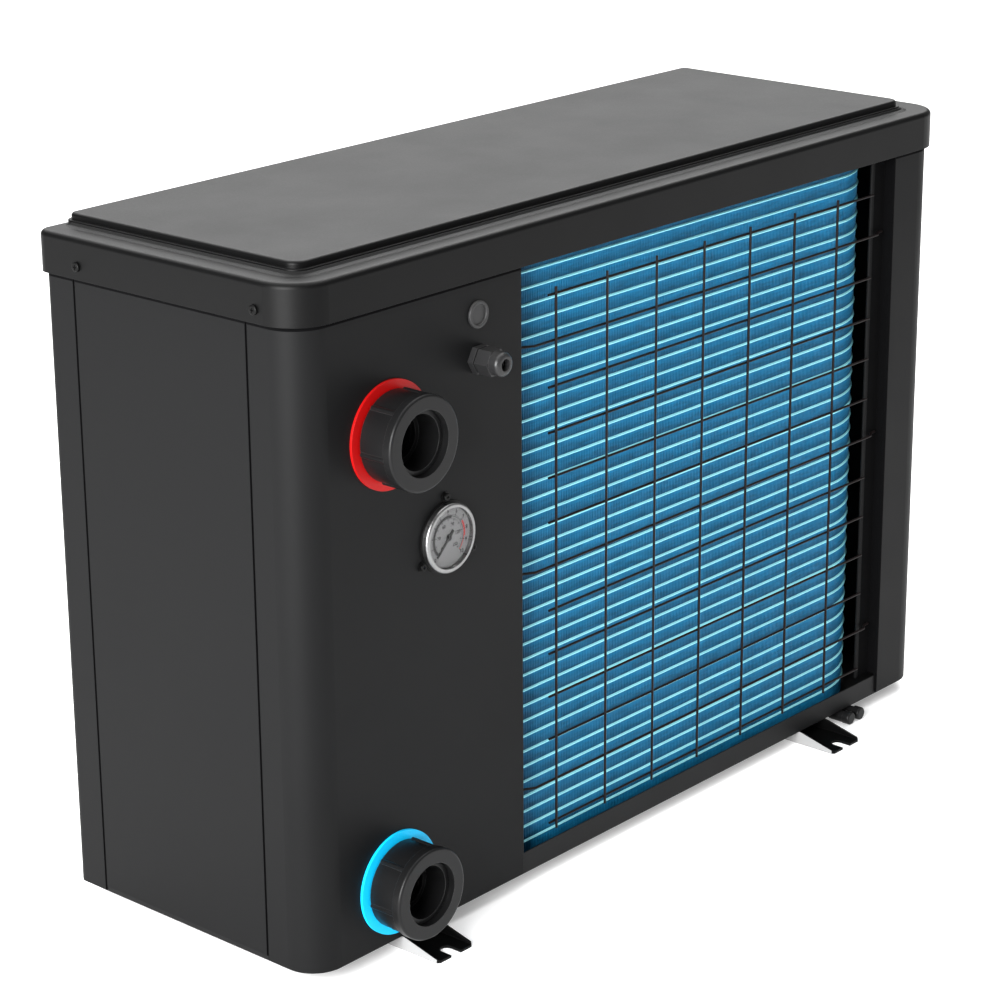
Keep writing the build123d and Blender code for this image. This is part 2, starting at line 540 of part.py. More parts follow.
def compressor_stator():
    core = rod_z(COMP_X, COMP_Y, COMP_Z0 + 130, COMP_Z1 - 30, COMP_R - 4.2)
    return core - rod_z(COMP_X, COMP_Y, COMP_Z0, COMP_Z1, 30)


def compressor_rotor():
    """The motor's rotor on its crankshaft, with the eccentric that drives the rolling piston."""
    rotor = rod_z(COMP_X, COMP_Y, COMP_Z0 + 132, COMP_Z1 - 32, 29.4)
    shaft = rod_z(COMP_X, COMP_Y, COMP_Z0 + 12, COMP_Z1 - 20, CRANK_R)
    eccentric = rod_z(COMP_X + 5, COMP_Y, COMP_Z0 + 40, COMP_Z0 + 66, 19)
    return rotor + shaft + eccentric


def compressor_rubbers():
    """Grommets under the foot plate that take up the compressor's vibration."""
    rubbers = []
    for angle in COMP_FOOT_ANGLES:
        dx, dy = polar(COMP_FOOT_R, angle)
        x, y = COMP_X + dx, COMP_Y + dy
        rubber = rod_z(x, y, CHAMBER_Z0, COMP_Z0 - 3, 13) + rod_z(x, y, CHAMBER_Z0, COMP_Z0 + 6, 9)
        rubber += rod_z(x, y, COMP_Z0 + 0.6, COMP_Z0 + 6, 12)
        rubbers.append(rubber - rod_z(x, y, CHAMBER_Z0 - 1, COMP_Z0 + 7, 4))
    return rubbers


# ---------------------------------------------------------------- water side
TAIL_BORE_R, TAIL_OUT_R, TAIL_FLANGE_R = 25.15, 29.2, 35.5
UNION_THREAD_R, UNION_BORE_R = 37.0, 22.0
SOCKET_FRONT, SEAL_T, FLANGE_T = REAR_Y - 23, 2.0, 5.0
TAIL_SEAT = SOCKET_FRONT - SEAL_T
TAIL_FRONT, TAIL_BACK = REAR_Y - 35, REAR_Y - 7
NUT_FRONT, NUT_BACK, NUT_R = REAR_Y - 42, REAR_Y - 4.5, 43.5
NUT_RIBS, RIB_R = 6, 2.6
RING_T, RING_R = 2.5, 49.5
SPIGOT_END = TANK_Y - TANK_R - 4


def union_ring(z):
    """The coloured ring on the panel behind the nut: red for the warm outlet, blue for the inlet."""
    return tube_y(UNION_X, z, REAR_Y - RING_T, REAR_Y, RING_R, UNION_THREAD_R + 1)


def union_socket(z):
    """The fixed half: a threaded barrel through the panel, a flange inside it, and a spigot to the tank."""
    inside = REAR_Y + SHEET
    socket = rod_y(UNION_X, z, SOCKET_FRONT, inside + 8, UNION_THREAD_R)
    socket += rod_y(UNION_X, z, inside, inside + 5, UNION_THREAD_R + 8)
    socket += rod_y(UNION_X, z, inside + 4, SPIGOT_END, 29)
    socket -= rod_y(UNION_X, z, SOCKET_FRONT - 1, SPIGOT_END + 1, UNION_BORE_R)
    socket -= rod_y(UNION_X, z, SOCKET_FRONT - 1, TAIL_BACK + 2, TAIL_OUT_R + 0.4)
    pan_top = CHAMBER_Z0 + PAN_FLANGE_H + 1
    return socket - block(UNION_X - 60, UNION_X + 60, inside - 1, inside + 12, 0, pan_top)


def union_seal(z):
    return tube_y(UNION_X, z, TAIL_SEAT, SOCKET_FRONT, UNION_THREAD_R - 2.5, TAIL_OUT_R + 0.6)


def union_tail(z):
    """The loose half: a glue socket for 50 mm pipe with a stop inside, and the flange the nut pulls on."""
    tail = rod_y(UNION_X, z, TAIL_FRONT, TAIL_BACK, TAIL_OUT_R)
    tail += rod_y(UNION_X, z, TAIL_SEAT - FLANGE_T, TAIL_SEAT, TAIL_FLANGE_R)
    tail -= rod_y(UNION_X, z, TAIL_FRONT - 1, TAIL_FRONT + 24, TAIL_BORE_R)
    return tail - rod_y(UNION_X, z, TAIL_FRONT, TAIL_BACK + 1, UNION_BORE_R - 1)


def union_nut(z):
    """The hand nut, with round grip ribs behind its smooth front collar."""
    collar_y = NUT_FRONT + 9
    nut = rod_y(UNION_X, z, NUT_FRONT, collar_y, NUT_R)
    nut = fillet(nut.edges().group_by(Axis.Y)[0], 2.5)
    nut += rod_y(UNION_X, z, collar_y, NUT_BACK, NUT_R - 2)
    for rib in range(NUT_RIBS):
        dx, dz = polar(NUT_R - RIB_R - 0.2, 10 + rib * 360 / NUT_RIBS)
        nut += rod_y(UNION_X + dx, z + dz, collar_y - 1, NUT_BACK - 1, RIB_R)
    nut -= rod_y(UNION_X, z, NUT_FRONT - 1, NUT_BACK + 1, TAIL_OUT_R + 0.6)
    lip_back = TAIL_SEAT - FLANGE_T - 0.1
    return nut - rod_y(UNION_X, z, lip_back, NUT_BACK + 1, UNION_THREAD_R + 0.5)


def exchanger_tank():
    """The plastic water tank, open at the top, with a port at each end of its rear side."""
    tank = fillet(rod_z(TANK_X, TANK_Y, TANK_Z0, TANK_Z1, TANK_R).edges().group_by(Axis.Z)[0], 10)
    for z in (OUTLET_Z, INLET_Z):
        tank += rod_y(TANK_X, z, SPIGOT_END, TANK_Y, 29)
    tank -= rod_z(TANK_X, TANK_Y, TANK_Z0 + 5, TANK_Z1 + 1, TANK_R - 5)
    for z in (OUTLET_Z, INLET_Z):
        tank -= rod_y(TANK_X, z, SPIGOT_END - 1, TANK_Y, UNION_BORE_R)
    saddle = block(TANK_X - 40, TANK_X + 40, TANK_Y - 30, TANK_Y + 30, CHAMBER_Z0, TANK_Z0 + 2)
    return tank + saddle


TANK_PORTS = ((TANK_X + 18.0, TANK_Y), (TANK_X - 30.0, TANK_Y - 25.0))


def exchanger_cap():
    cap = fillet(rod_z(TANK_X, TANK_Y, TANK_Z1, TANK_Z1 + 14, TANK_R + 4).edges().group_by(Axis.Z)[-1], 4)
    for x, y in TANK_PORTS:
        cap -= rod_z(x, y, TANK_Z1 - 1, TANK_Z1 + 15, PIPE_R + 0.1)
    return cap


COIL_TURNS, HELIX_PITCH, HELIX_Z0 = 17, 24.0, 62.0


def titanium_coil():
    """The refrigerant tube in the water: a riser down the middle, and turns of one size back up."""
    radius = 39.05
    helix = Helix(HELIX_PITCH, HELIX_PITCH * COIL_TURNS, radius)
    turns = sweep(Plane(origin=helix @ 0, z_dir=helix % 0) * Circle(PIPE_R), path=helix, is_frenet=True)
    turns = Pos(TANK_X, TANK_Y, HELIX_Z0) * Rot(0, 0, 219.8) * turns
    (middle_x, middle_y), (side_x, side_y) = TANK_PORTS
    port_z, helix_z1 = TANK_Z1 + 2, HELIX_Z0 + HELIX_PITCH * COIL_TURNS
    riser = pipe(
        [(side_x, side_y, HELIX_Z0), (middle_x, middle_y, HELIX_Z0), (middle_x, middle_y, port_z)], 14, PIPE_R
    )
    knee = Sphere(PIPE_R + 0.2)
    down = riser + Pos(side_x, side_y, HELIX_Z0) * knee
    up = turns + Pos(side_x, side_y, helix_z1) * knee + rod_z(side_x, side_y, helix_z1, port_z, PIPE_R)
    return up + down


def flow_switch():
    """The paddle switch's body, screwed down into the inlet spigot, with two ears for the paddle's pin."""
    y, z = SWITCH_Y, INLET_Z
    stem = rod_z(UNION_X, y, z + 19.0, z + 40, 8)
    head = block(UNION_X - 16, UNION_X + 16, y - 12, y + 12, z + 38, z + 66)
    ears = [block(x - 1.5, x + 1.5, y - 3, y + 3, z + 13, z + 20) for x in (UNION_X - 5, UNION_X + 5)]
    body = stem.fuse(fillet(head.edges(), 3), *ears)
    return body - rod_x(y, z + PADDLE_PIN_Z, UNION_X - 8, UNION_X + 8, PADDLE_PIN_R + 0.06)


SWITCH_Y, PADDLE_PIN_Z, PADDLE_PIN_R = -131.0, 15.5, 1.2


def flow_paddle():
    y, z = SWITCH_Y, INLET_Z
    pin = rod_x(y, z + PADDLE_PIN_Z, UNION_X - 6.4, UNION_X + 6.4, PADDLE_PIN_R)
    arm = block(UNION_X - 3, UNION_X + 3, y - 0.8, y + 0.8, z - 6, z + PADDLE_PIN_Z)
    blade = block(UNION_X - 8, UNION_X + 8, y - 0.8, y + 0.8, z - 16, z - 2)
    return pin + arm + blade


# ---------------------------------------------------------------- pressure gauge
GAUGE_CASE_R, GAUGE_BEZEL_R, GAUGE_GLASS_R = 29.0, 32.5, 28.5
GAUGE_FRONT = REAR_Y - 7.5
NEEDLE_REST = 225.0  # degrees on the dial face, seen from the rear: the zero peg


def gauge_bracket():
    """A thin ring behind the bezel with three screw lugs."""
    ring = Circle(34) - Circle(GAUGE_CASE_R + 0.3)
    for angle in GAUGE_LUG_ANGLES:
        dx, dz = polar(GAUGE_LUG_R, angle)
        ring += Pos(dx, dz) * Circle(4.6)
    for angle in GAUGE_LUG_ANGLES:
        dx, dz = polar(GAUGE_LUG_R, angle)
        ring -= Pos(dx, dz) * Circle(SCREW_R)
    plane = Plane(origin=(GAUGE_X, REAR_Y, GAUGE_Z), x_dir=(1, 0, 0), z_dir=(0, -1, 0))
    return extrude(plane * ring, 1.5)


def gauge_case():
    """The cup behind the dial, its polished bezel, and the stub for the pressure tube."""
    cup = rod_y(GAUGE_X, GAUGE_Z, REAR_Y - 3, REAR_Y + 28, GAUGE_CASE_R)
    bezel = rod_y(GAUGE_X, GAUGE_Z, GAUGE_FRONT, REAR_Y - 1.6, GAUGE_BEZEL_R)
    bezel = fillet(bezel.edges().group_by(Axis.Y)[0], 2.2)
    stub = rod_y(GAUGE_X, GAUGE_Z - 16, REAR_Y + 27, REAR_Y + 42, 6)
    case = cup.fuse(bezel, stub)
    return case - rod_y(GAUGE_X, GAUGE_Z, GAUGE_FRONT - 1, REAR_Y - 2, GAUGE_GLASS_R)


def gauge_dial():
    return rod_y(GAUGE_X, GAUGE_Z, REAR_Y - 2.8, REAR_Y - 2, GAUGE_GLASS_R - 0.2)


def gauge_needle():
    """Pointer, hub and tail, turned to the zero peg."""
    y0, y1 = REAR_Y - 4.4, REAR_Y - 3.6
    pointer = Polygon((-1.4, -8), (1.4, -8), (0.5, 22), (-0.5, 22), align=None) + Circle(3.2)
    plane = Plane(origin=(0, y1, 0), x_dir=(1, 0, 0), z_dir=(0, -1, 0))
    needle = extrude(plane * pointer, y1 - y0) + rod_y(0, 0, REAR_Y - 5.2, REAR_Y - 3.0, 2.0)
    return Pos(GAUGE_X, 0, GAUGE_Z) * Rot(0, NEEDLE_REST, 0) * needle


def gauge_lens():
    return rod_y(GAUGE_X, GAUGE_Z, GAUGE_FRONT + 0.7, GAUGE_FRONT + 1.7, GAUGE_GLASS_R - 0.1)


# ---------------------------------------------------------------- cable gland and grommet
GLAND_THREAD_R, GLAND_BORE_R, CABLE_R = 9.8, 7.2, 4.5
GLAND_FRONT = REAR_Y - 33
GROMMET_R = 10.3


def gland_body():
    """The fixed half: a hexagon on the panel, threads each way, and a locknut's face inside."""
    flange = hexagon_y(GLAND_X, GLAND_Z, REAR_Y - 6, REAR_Y, 24)
    inner = rod_y(GLAND_X, GLAND_Z, REAR_Y - 1, REAR_Y + 14, GLAND_THREAD_R)
    outer = rod_y(GLAND_X, GLAND_Z, REAR_Y - 18, REAR_Y - 5, GLAND_THREAD_R)
    locknut = hexagon_y(GLAND_X, GLAND_Z, REAR_Y + SHEET, REAR_Y + SHEET + 5, 24)
    body = flange.fuse(inner, outer, locknut)
    return body - rod_y(GLAND_X, GLAND_Z, REAR_Y - 19, REAR_Y + 15, GLAND_BORE_R)


def gland_seal():
    """The rubber that the cap squeezes on the cable."""
    seal = rod_y(GLAND_X, GLAND_Z, REAR_Y - 26, REAR_Y - 12, GLAND_BORE_R - 0.1)
    return seal - rod_y(GLAND_X, GLAND_Z, REAR_Y - 27, REAR_Y - 11, CABLE_R)


def gland_cap():
    """The hexagonal cap with a domed front and the cable's hole."""
    grip = hexagon_y(GLAND_X, GLAND_Z, REAR_Y - 22, REAR_Y - 7, 23)
    dome = rod_y(GLAND_X, GLAND_Z, GLAND_FRONT, REAR_Y - 20, 11.4)
    dome = fillet(dome.edges().group_by(Axis.Y)[0], 4.5)
    cap = grip + dome
    cap -= rod_y(GLAND_X, GLAND_Z, REAR_Y - 26.5, REAR_Y - 6, GLAND_THREAD_R + 0.15)
    return cap - rod_y(GLAND_X, GLAND_Z, GLAND_FRONT - 1, REAR_Y - 20, 5.6)


def cable_grommet():
    """A blind rubber grommet: a round bead outside, a thin web across the hole, a lip inside."""
    bead = tube_y(GROMMET_X, GROMMET_Z, REAR_Y - 2.4, REAR_Y, 12.7, 9.2)
    bead = fillet(bead.edges().group_by(Axis.Y)[0], 1.1)
    neck = rod_y(GROMMET_X, GROMMET_Z, REAR_Y - 0.5, REAR_Y + SHEET + 0.2, GROMMET_R)
    lip = rod_y(GROMMET_X, GROMMET_Z, REAR_Y + SHEET, REAR_Y + SHEET + 2, 12)
    return bead.fuse(neck, lip)


# ---------------------------------------------------------------- refrigerant side and electrics
VALVE_Z, VALVE_R, VALVE_HALF = 400.0, 15.0, 52.0
EEV_Z = 300.0
LIQUID_X, LIQUID_Y = -280.0, -60.0
STUB_TOP = VALVE_Z + VALVE_R + 10


def reversing_valve():
    """The four-way valve that swaps heating and defrosting: a brass cylinder with four stubs and a pilot."""
    body = fillet(rod_x(COMP_Y, VALVE_Z, COMP_X - VALVE_HALF, COMP_X + VALVE_HALF, VALVE_R).edges(), 4)
    stubs = [rod_z(COMP_X + dx, COMP_Y, VALVE_Z, STUB_TOP, PIPE_R + 1.5) for dx in (-28, 0, 28)]
    stubs.append(rod_z(COMP_X, COMP_Y, VALVE_Z - VALVE_R - 10, VALVE_Z, PIPE_R + 1.5))
    pilot = rod_x(COMP_Y + 26, VALVE_Z, COMP_X - 22, COMP_X + 22, 9)
    clip = block(COMP_X - 6, COMP_X + 6, COMP_Y + 10, COMP_Y + 20, VALVE_Z - 4, VALVE_Z + 4)
    return body.fuse(*stubs, pilot, clip)


def expansion_valve():
    """The valve in the liquid line: a body with a motor head."""
    body = rod_z(LIQUID_X, LIQUID_Y, EEV_Z - 22, EEV_Z + 22, 11)
    head = rod_y(LIQUID_X, EEV_Z, LIQUID_Y, LIQUID_Y + 34, 13)
    return body + head


def refrigerant_pipes():
    """Discharge, suction, gas and liquid lines, and the capillary to the gauge."""
    tube_y_mid = COIL_REAR_Y + COIL_T / 2
    tube_x = COIL_LEFT_X - PLATE_T
    top_z = TUBE_Z0 + (TUBE_COUNT - 1) * TUBE_PITCH
    (port_a_x, port_a_y), (port_b_x, port_b_y) = TANK_PORTS
    cap_z = TANK_Z1 + 2
    suction = [(COMP_X, COMP_Y, STUB_TOP), (COMP_X, COMP_Y, 455)]
    suction += [(ACCU_X, ACCU_Y, 455), (ACCU_X, ACCU_Y, 300)]
    gas_x = COMP_X + 28
    gas = [(gas_x, COMP_Y, STUB_TOP), (gas_x, COMP_Y, 450), (gas_x, tube_y_mid, 450)]
    gas += [(gas_x, tube_y_mid, top_z), (tube_x, tube_y_mid, top_z)]
    tank_x = COMP_X - 28
    tank = [(tank_x, COMP_Y, STUB_TOP), (tank_x, COMP_Y, 452), (tank_x - 48, COMP_Y - 14, 452)]
    tank += [(tank_x - 48, COMP_Y - 14, 580), (port_a_x, port_a_y, 580), (port_a_x, port_a_y, cap_z)]
    low = [(tube_x, tube_y_mid, TUBE_Z0), (LIQUID_X, tube_y_mid, TUBE_Z0), (LIQUID_X, LIQUID_Y, TUBE_Z0)]
    low += [(LIQUID_X, LIQUID_Y, EEV_Z - 22)]
    high = [(LIQUID_X, LIQUID_Y, EEV_Z + 22), (LIQUID_X, LIQUID_Y, 600), (port_b_x, port_b_y, 600)]
    high += [(port_b_x, port_b_y, cap_z)]
    capillary_z = GAUGE_Z - 16
    capillary = [(GAUGE_X, REAR_Y + 42, capillary_z), (GAUGE_X, REAR_Y + 62, capillary_z)]
    capillary += [(LIQUID_X, LIQUID_Y - 20, capillary_z), (LIQUID_X, LIQUID_Y - TUBE_R, capillary_z)]
    pipes = [rod_z(COMP_X, COMP_Y, COMP_Z1 + 26, VALVE_Z - VALVE_R - 10, PIPE_R)]
    pipes += [pipe(points, 15, PIPE_R) for points in (suction, gas, tank)]
    pipes += [pipe(points, 12, TUBE_R) for points in (low, high)]
    return pipes + [pipe(capillary, 6, 1.6)]


BOX_X0, BOX_X1 = -452.0, -205.0
BOX_Y0, BOX_Y1 = 78.0, 144.0
BOX_Z0, BOX_Z1 = 480.0, 622.0


def electric_box():
    """A tray behind the front panel, open to the front, with cable slots in its floor."""
    box = block(BOX_X0, BOX_X1, BOX_Y0, BOX_Y1, BOX_Z0, BOX_Z1)
    box -= block(BOX_X0 + 2, BOX_X1 - 2, BOX_Y0 + 2, BOX_Y1 + 1, BOX_Z0 + 2, BOX_Z1 - 2)
    for x in (-420.0, -360.0, -250.0):
        box -= block(x - 12, x + 12, BOX_Y0 + 20, BOX_Y0 + 36, BOX_Z0 - 1, BOX_Z0 + 3)
    return box


def control_board():
    """The board with its terminal strip, relay, capacitor and transformer."""
    y = BOX_Y0 + 10
    board = block(BOX_X0 + 12, BOX_X1 - 12, y, y + 1.6, BOX_Z0 + 12, BOX_Z1 - 12)
    corners = [(x, z) for x in (BOX_X0 + 20, BOX_X1 - 20) for z in (BOX_Z0 + 20, BOX_Z1 - 20)]
    spacers = [rod_y(x, z, BOX_Y0 + 2, y + 0.2, 4) for x, z in corners]
    strip = block(-300, -225, y + 1.4, y + 22, BOX_Z0 + 18, BOX_Z0 + 38)
    relay = block(-436, -403, y + 1.4, y + 30, 560, 600)
    transformer = block(-392, -340, y + 1.4, y + 38, 545, 600)
    capacitor = rod_z(-262, y + 21, 545, 605, 20)
    return board.fuse(*spacers, strip, relay, transformer, capacitor)


# ---------------------------------------------------------------- controller
CASE_W, CASE_H, CASE_T = 132.0, 92.0, 14.0
BUTTON_Z = CONTROL_Z - 27
BUTTONS = {"button_power": CONTROL_X + 38, "button_up": CONTROL_X, "button_down": CONTROL_X - 38}
BUTTON_TRAVEL = 1.2


def controller_case():
    """The keypad on the front panel, with a display window and three key holes."""
    case = block(CONTROL_X - CASE_W / 2, CONTROL_X + CASE_W / 2, FRONT_Y, FRONT_Y + CASE_T,
                 CONTROL_Z - CASE_H / 2, CONTROL_Z + CASE_H / 2)
    case = fillet(case.edges().filter_by(Axis.Y), 8)
    case = fillet(case.faces().sort_by(Axis.Y)[-1].edges(), 3)
    case -= block(CONTROL_X - 46, CONTROL_X + 46, FRONT_Y + CASE_T - 1.5, FRONT_Y + CASE_T + 1,
                  CONTROL_Z - 6, CONTROL_Z + 34)
    for x in BUTTONS.values():
        case -= rod_y(x, BUTTON_Z, FRONT_Y + 4, FRONT_Y + CASE_T + 1, 8.3)
    return case


def button(x):
    key = rod_y(x, BUTTON_Z, FRONT_Y + 4 + BUTTON_TRAVEL + 0.4, FRONT_Y + CASE_T + 1.8, 8.0)
    return fillet(key.edges().group_by(Axis.Y)[-1], 0.9)


# ---------------------------------------------------------------- write every node
save("base_pan", base_pan())
save("foot_left", foot(FOOT_X[0]))
save("foot_right", foot(FOOT_X[1]))
save("drain_elbows", *[drain_elbow(x) for x in DRAIN_X])
save("service_panel", service_panel())
save("left_panel", left_panel())
save("front_panel", front_panel())
save("right_panel", right_panel())
save("lid", lid())
save("casing_screws", *casing_screws())
save("coil_guard", coil_guard())
save("partition", partition())
save("fan_guard", fan_guard())
save("coil_fins", coil_fins())
save("coil_end_plates", *coil_end_plates())
save("coil_return_bends", *coil_return_bends())
save("fan_bracket", fan_bracket())
save("fan_motor", fan_motor())
save("fan_shaft", fan_shaft())
save("fan_blade", fan_blade())
save("fan_nut", fan_nut())
save("compressor_shell", compressor_shell())
save("compressor_cap", compressor_cap())
save("compressor_pump", compressor_pump())
save("compressor_stator", compressor_stator())
save("compressor_rotor", compressor_rotor())
save("compressor_rubbers", *compressor_rubbers())
save("exchanger_tank", exchanger_tank())
save("exchanger_cap", exchanger_cap())
save("titanium_coil", titanium_coil())
save("flow_switch", flow_switch())
save("flow_paddle", flow_paddle())
for side, union_z in (("outlet", OUTLET_Z), ("inlet", INLET_Z)):
    save(f"{side}_ring", union_ring(union_z))
    save(f"{side}_seal", union_seal(union_z))
    save(f"{side}_tail", union_tail(union_z))
    save(f"{side}_nut", union_nut(union_z))
save("outlet_socket", union_socket(OUTLET_Z))
save("inlet_socket", union_socket(INLET_Z) - rod_z(UNION_X, SWITCH_Y, INLET_Z, INLET_Z + 35, 8.05))
save("gauge_bracket", gauge_bracket())
save("gauge_case", gauge_case())
save("gauge_dial", gauge_dial())
save("gauge_needle", gauge_needle())
save("gauge_lens", gauge_lens())
save("gland_body", gland_body())
save("gland_seal", gland_seal())
save("gland_cap", gland_cap())
save("cable_grommet", cable_grommet())
save("reversing_valve", reversing_valve())
save("expansion_valve", expansion_valve())
save("refrigerant_pipes", *refrigerant_pipes())
save("electric_box", electric_box())
save("control_board", control_board())
save("controller_case", controller_case())
for key_name, key_x in BUTTONS.items():
    save(key_name, button(key_x))
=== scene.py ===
# %% [markdown]
# # A pool heat pump, finished from its CAD model
# The unit is a sheet-metal casing on two steel feet. Its rear shows a blue finned coil behind a wire guard,
# two hand-nut unions, a pressure gauge and a cable gland. The CAD model already holds every rigid part at
# its true size. This script gives each part its finish, and builds the few things that CAD only blocks out:
# the fins, the tubes through them, the print on the dial and the marks on the keypad.

# %% Load the frame
import math

import bpy
from mathutils import Matrix, Vector


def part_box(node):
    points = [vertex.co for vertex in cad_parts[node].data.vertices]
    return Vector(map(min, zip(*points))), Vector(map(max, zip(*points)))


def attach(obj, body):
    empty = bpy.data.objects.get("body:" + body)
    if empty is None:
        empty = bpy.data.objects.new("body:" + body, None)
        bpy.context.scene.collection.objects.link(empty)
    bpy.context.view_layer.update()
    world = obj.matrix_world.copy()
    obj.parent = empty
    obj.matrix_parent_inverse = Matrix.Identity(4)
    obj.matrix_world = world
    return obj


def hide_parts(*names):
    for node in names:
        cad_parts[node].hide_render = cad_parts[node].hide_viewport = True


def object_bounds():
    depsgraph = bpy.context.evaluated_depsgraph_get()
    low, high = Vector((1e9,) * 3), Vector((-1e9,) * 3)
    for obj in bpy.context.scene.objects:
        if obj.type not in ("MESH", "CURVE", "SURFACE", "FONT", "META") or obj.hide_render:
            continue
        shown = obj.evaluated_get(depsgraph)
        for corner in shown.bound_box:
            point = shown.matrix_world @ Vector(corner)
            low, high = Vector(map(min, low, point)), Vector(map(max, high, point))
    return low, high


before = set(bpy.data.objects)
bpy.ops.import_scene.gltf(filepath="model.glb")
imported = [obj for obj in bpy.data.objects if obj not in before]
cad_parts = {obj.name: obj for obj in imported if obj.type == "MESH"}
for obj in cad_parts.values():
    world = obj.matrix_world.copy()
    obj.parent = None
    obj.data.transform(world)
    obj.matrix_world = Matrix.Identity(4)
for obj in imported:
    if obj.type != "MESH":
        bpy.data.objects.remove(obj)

cad_low, cad_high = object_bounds()
MM = 0.001
print("CAD box, mm:", [round(v / MM, 1) for v in (*cad_low, *cad_high)])

# %% [markdown]
# ## Camera
# A long lens from the rear left corner, a little above the lid, keeps the verticals almost parallel, as
# product pictures do. Heading is measured from +Y towards +X. The camera could aim at an empty object with
# a constraint, but three plain angles say the same and leave nothing to update.

# %% Camera
CAMERA_PLACE = Vector((-2.1447, -1.8595, 1.2791))
HEADING, TILT_DOWN, ROLL = 48.60, 18.93, 0.415
LENS_MM, SENSOR_MM = 107.6, 36.0

camera_data = bpy.data.cameras.new("camera")
camera_data.lens, camera_data.sensor_width = LENS_MM, SENSOR_MM
camera_data.clip_end = 60.0
camera = bpy.data.objects.new("camera", camera_data)
bpy.context.scene.collection.objects.link(camera)
turn = Matrix.Rotation(math.radians(-HEADING), 4, "Z")
nod = Matrix.Rotation(math.radians(90 - TILT_DOWN), 4, "X")
lean = Matrix.Rotation(math.radians(-ROLL), 4, "Z")
camera.matrix_world = Matrix.Translation(CAMERA_PLACE) @ turn @ nod @ lean
bpy.context.scene.camera = camera
camera_distance = (CAMERA_PLACE - (cad_low + cad_high) / 2).length
print("camera", LENS_MM, "mm,", round(camera_distance, 2), "m from the unit")

# %% [markdown]
# ## Studio
# Dark paint shows little of its own colour: what the eye reads is the softboxes and the floor mirrored in
# it. So one wide box hangs overhead, and the key light stands off the rear left corner, nearer the end: the
# rounded corner is brightest, then the end, then the rear. A third lights the floor behind the unit, so
# that the picture stays white to its top edge.

# %% Floor, softboxes and surround
def stage_floor(size, colour, glow):
    """A wide pale sheet under the unit, lit a little from below so that shadows on it stay faint."""
    mesh = bpy.data.meshes.new("studio_floor")
    half = size / 2
    corners = [(-half, -half, 0), (half, -half, 0), (half, half, 0), (-half, half, 0)]
    mesh.from_pydata(corners, [], [(0, 1, 2, 3)])
    floor = bpy.data.objects.new("studio_floor", mesh)
    bpy.context.scene.collection.objects.link(floor)
    paint = bpy.data.materials.new("studio_floor")
    paint.use_nodes = True
    shader = paint.node_tree.nodes["Principled BSDF"]
    shader.inputs["Base Color"].default_value = (*colour, 1)
    shader.inputs["Roughness"].default_value = 0.9
    shader.inputs["Specular IOR Level"].default_value = 0.0
    shader.inputs["Emission Color"].default_value = (1, 1, 1, 1)
    shader.inputs["Emission Strength"].default_value = glow
    mesh.materials.append(paint)


def softbox(name, place, target, width, height, watts):
    """A rectangular area light that faces a point."""
    data = bpy.data.lights.new(name, "AREA")
    data.shape, data.size, data.size_y, data.energy = "RECTANGLE", width, height, watts
    lamp = bpy.data.objects.new(name, data)
    lamp.location = place
    lamp.rotation_euler = (Vector(target) - Vector(place)).to_track_quat("-Z", "Y").to_euler()
    bpy.context.scene.collection.objects.link(lamp)


stage_floor(40.0, (0.86, 0.86, 0.86), 0.25)
UNIT_MIDDLE = (0, 0, 0.35)
softbox("overhead_box", (0.3, 0.6, 3.6), UNIT_MIDDLE, 5.0, 5.0, 260)
softbox("key_box", (-3.75, -1.0, 1.35), UNIT_MIDDLE, 2.4, 2.4, 460)
softbox("backdrop_box", (5.5, 5.5, 4.5), (5.0, 5.0, 0), 7.0, 7.0, 560)

surround = bpy.data.worlds.new("surround")
surround.use_nodes = True
surround.node_tree.nodes["Background"].inputs["Color"].default_value = (1.0, 1.0, 1.0, 1)
surround.node_tree.nodes["Background"].inputs["Strength"].default_value = 0.35
bpy.context.scene.world = surround
bpy.context.scene.view_settings.view_transform = "Standard"
print("three softboxes and a pale surround")

# %% [markdown]
# ## Effects that several finishes share
# Each effect is a node group with named sockets, so that it is built once and every finish gives it its own
# values. The groups read object coordinates, because a part's object sits at the origin and its grain then
# travels with it.

# %% Helpers for node groups
def new_group(name, inputs, outputs):
    """An empty shader node group. inputs and outputs are (name, socket kind, default) rows."""
    group = bpy.data.node_groups.new(name, "ShaderNodeTree")
    for label, kind, value in inputs:
        socket = group.interface.new_socket(label, in_out="INPUT", socket_type=kind)
        socket.default_value = value
    for label, kind in outputs:
        group.interface.new_socket(label, in_out="OUTPUT", socket_type=kind)
    return group, group.nodes.new("NodeGroupInput"), group.nodes.new("NodeGroupOutput")


def math_node(tree, operation, first, second=None, clamp=False):
    """A Math node. first and second are sockets or plain numbers."""
    node = tree.nodes.new("ShaderNodeMath")
    node.operation, node.use_clamp = operation, clamp
    for slot_index, value in enumerate((first, second)):
        if isinstance(value, (int, float)):
            node.inputs[slot_index].default_value = value
        elif value is not None:
            tree.links.new(value, node.inputs[slot_index])
    return node.outputs[0]


def noise_node(tree, scale, detail, stretch=(1, 1, 1)):
    """Noise in object space. scale is cells per metre, or a socket that gives it."""
    where = tree.nodes.new("ShaderNodeTexCoord")
    mapping = tree.nodes.new("ShaderNodeMapping")
    mapping.inputs["Scale"].default_value = stretch
    noise = tree.nodes.new("ShaderNodeTexNoise")
    noise.inputs["Detail"].default_value = detail
    tree.links.new(where.outputs["Object"], mapping.inputs["Vector"])
    tree.links.new(mapping.outputs["Vector"], noise.inputs["Vector"])
    if isinstance(scale, (int, float)):
        noise.inputs["Scale"].default_value = scale
    else:
        tree.links.new(scale, noise.inputs["Scale"])
    return noise.outputs["Fac"]


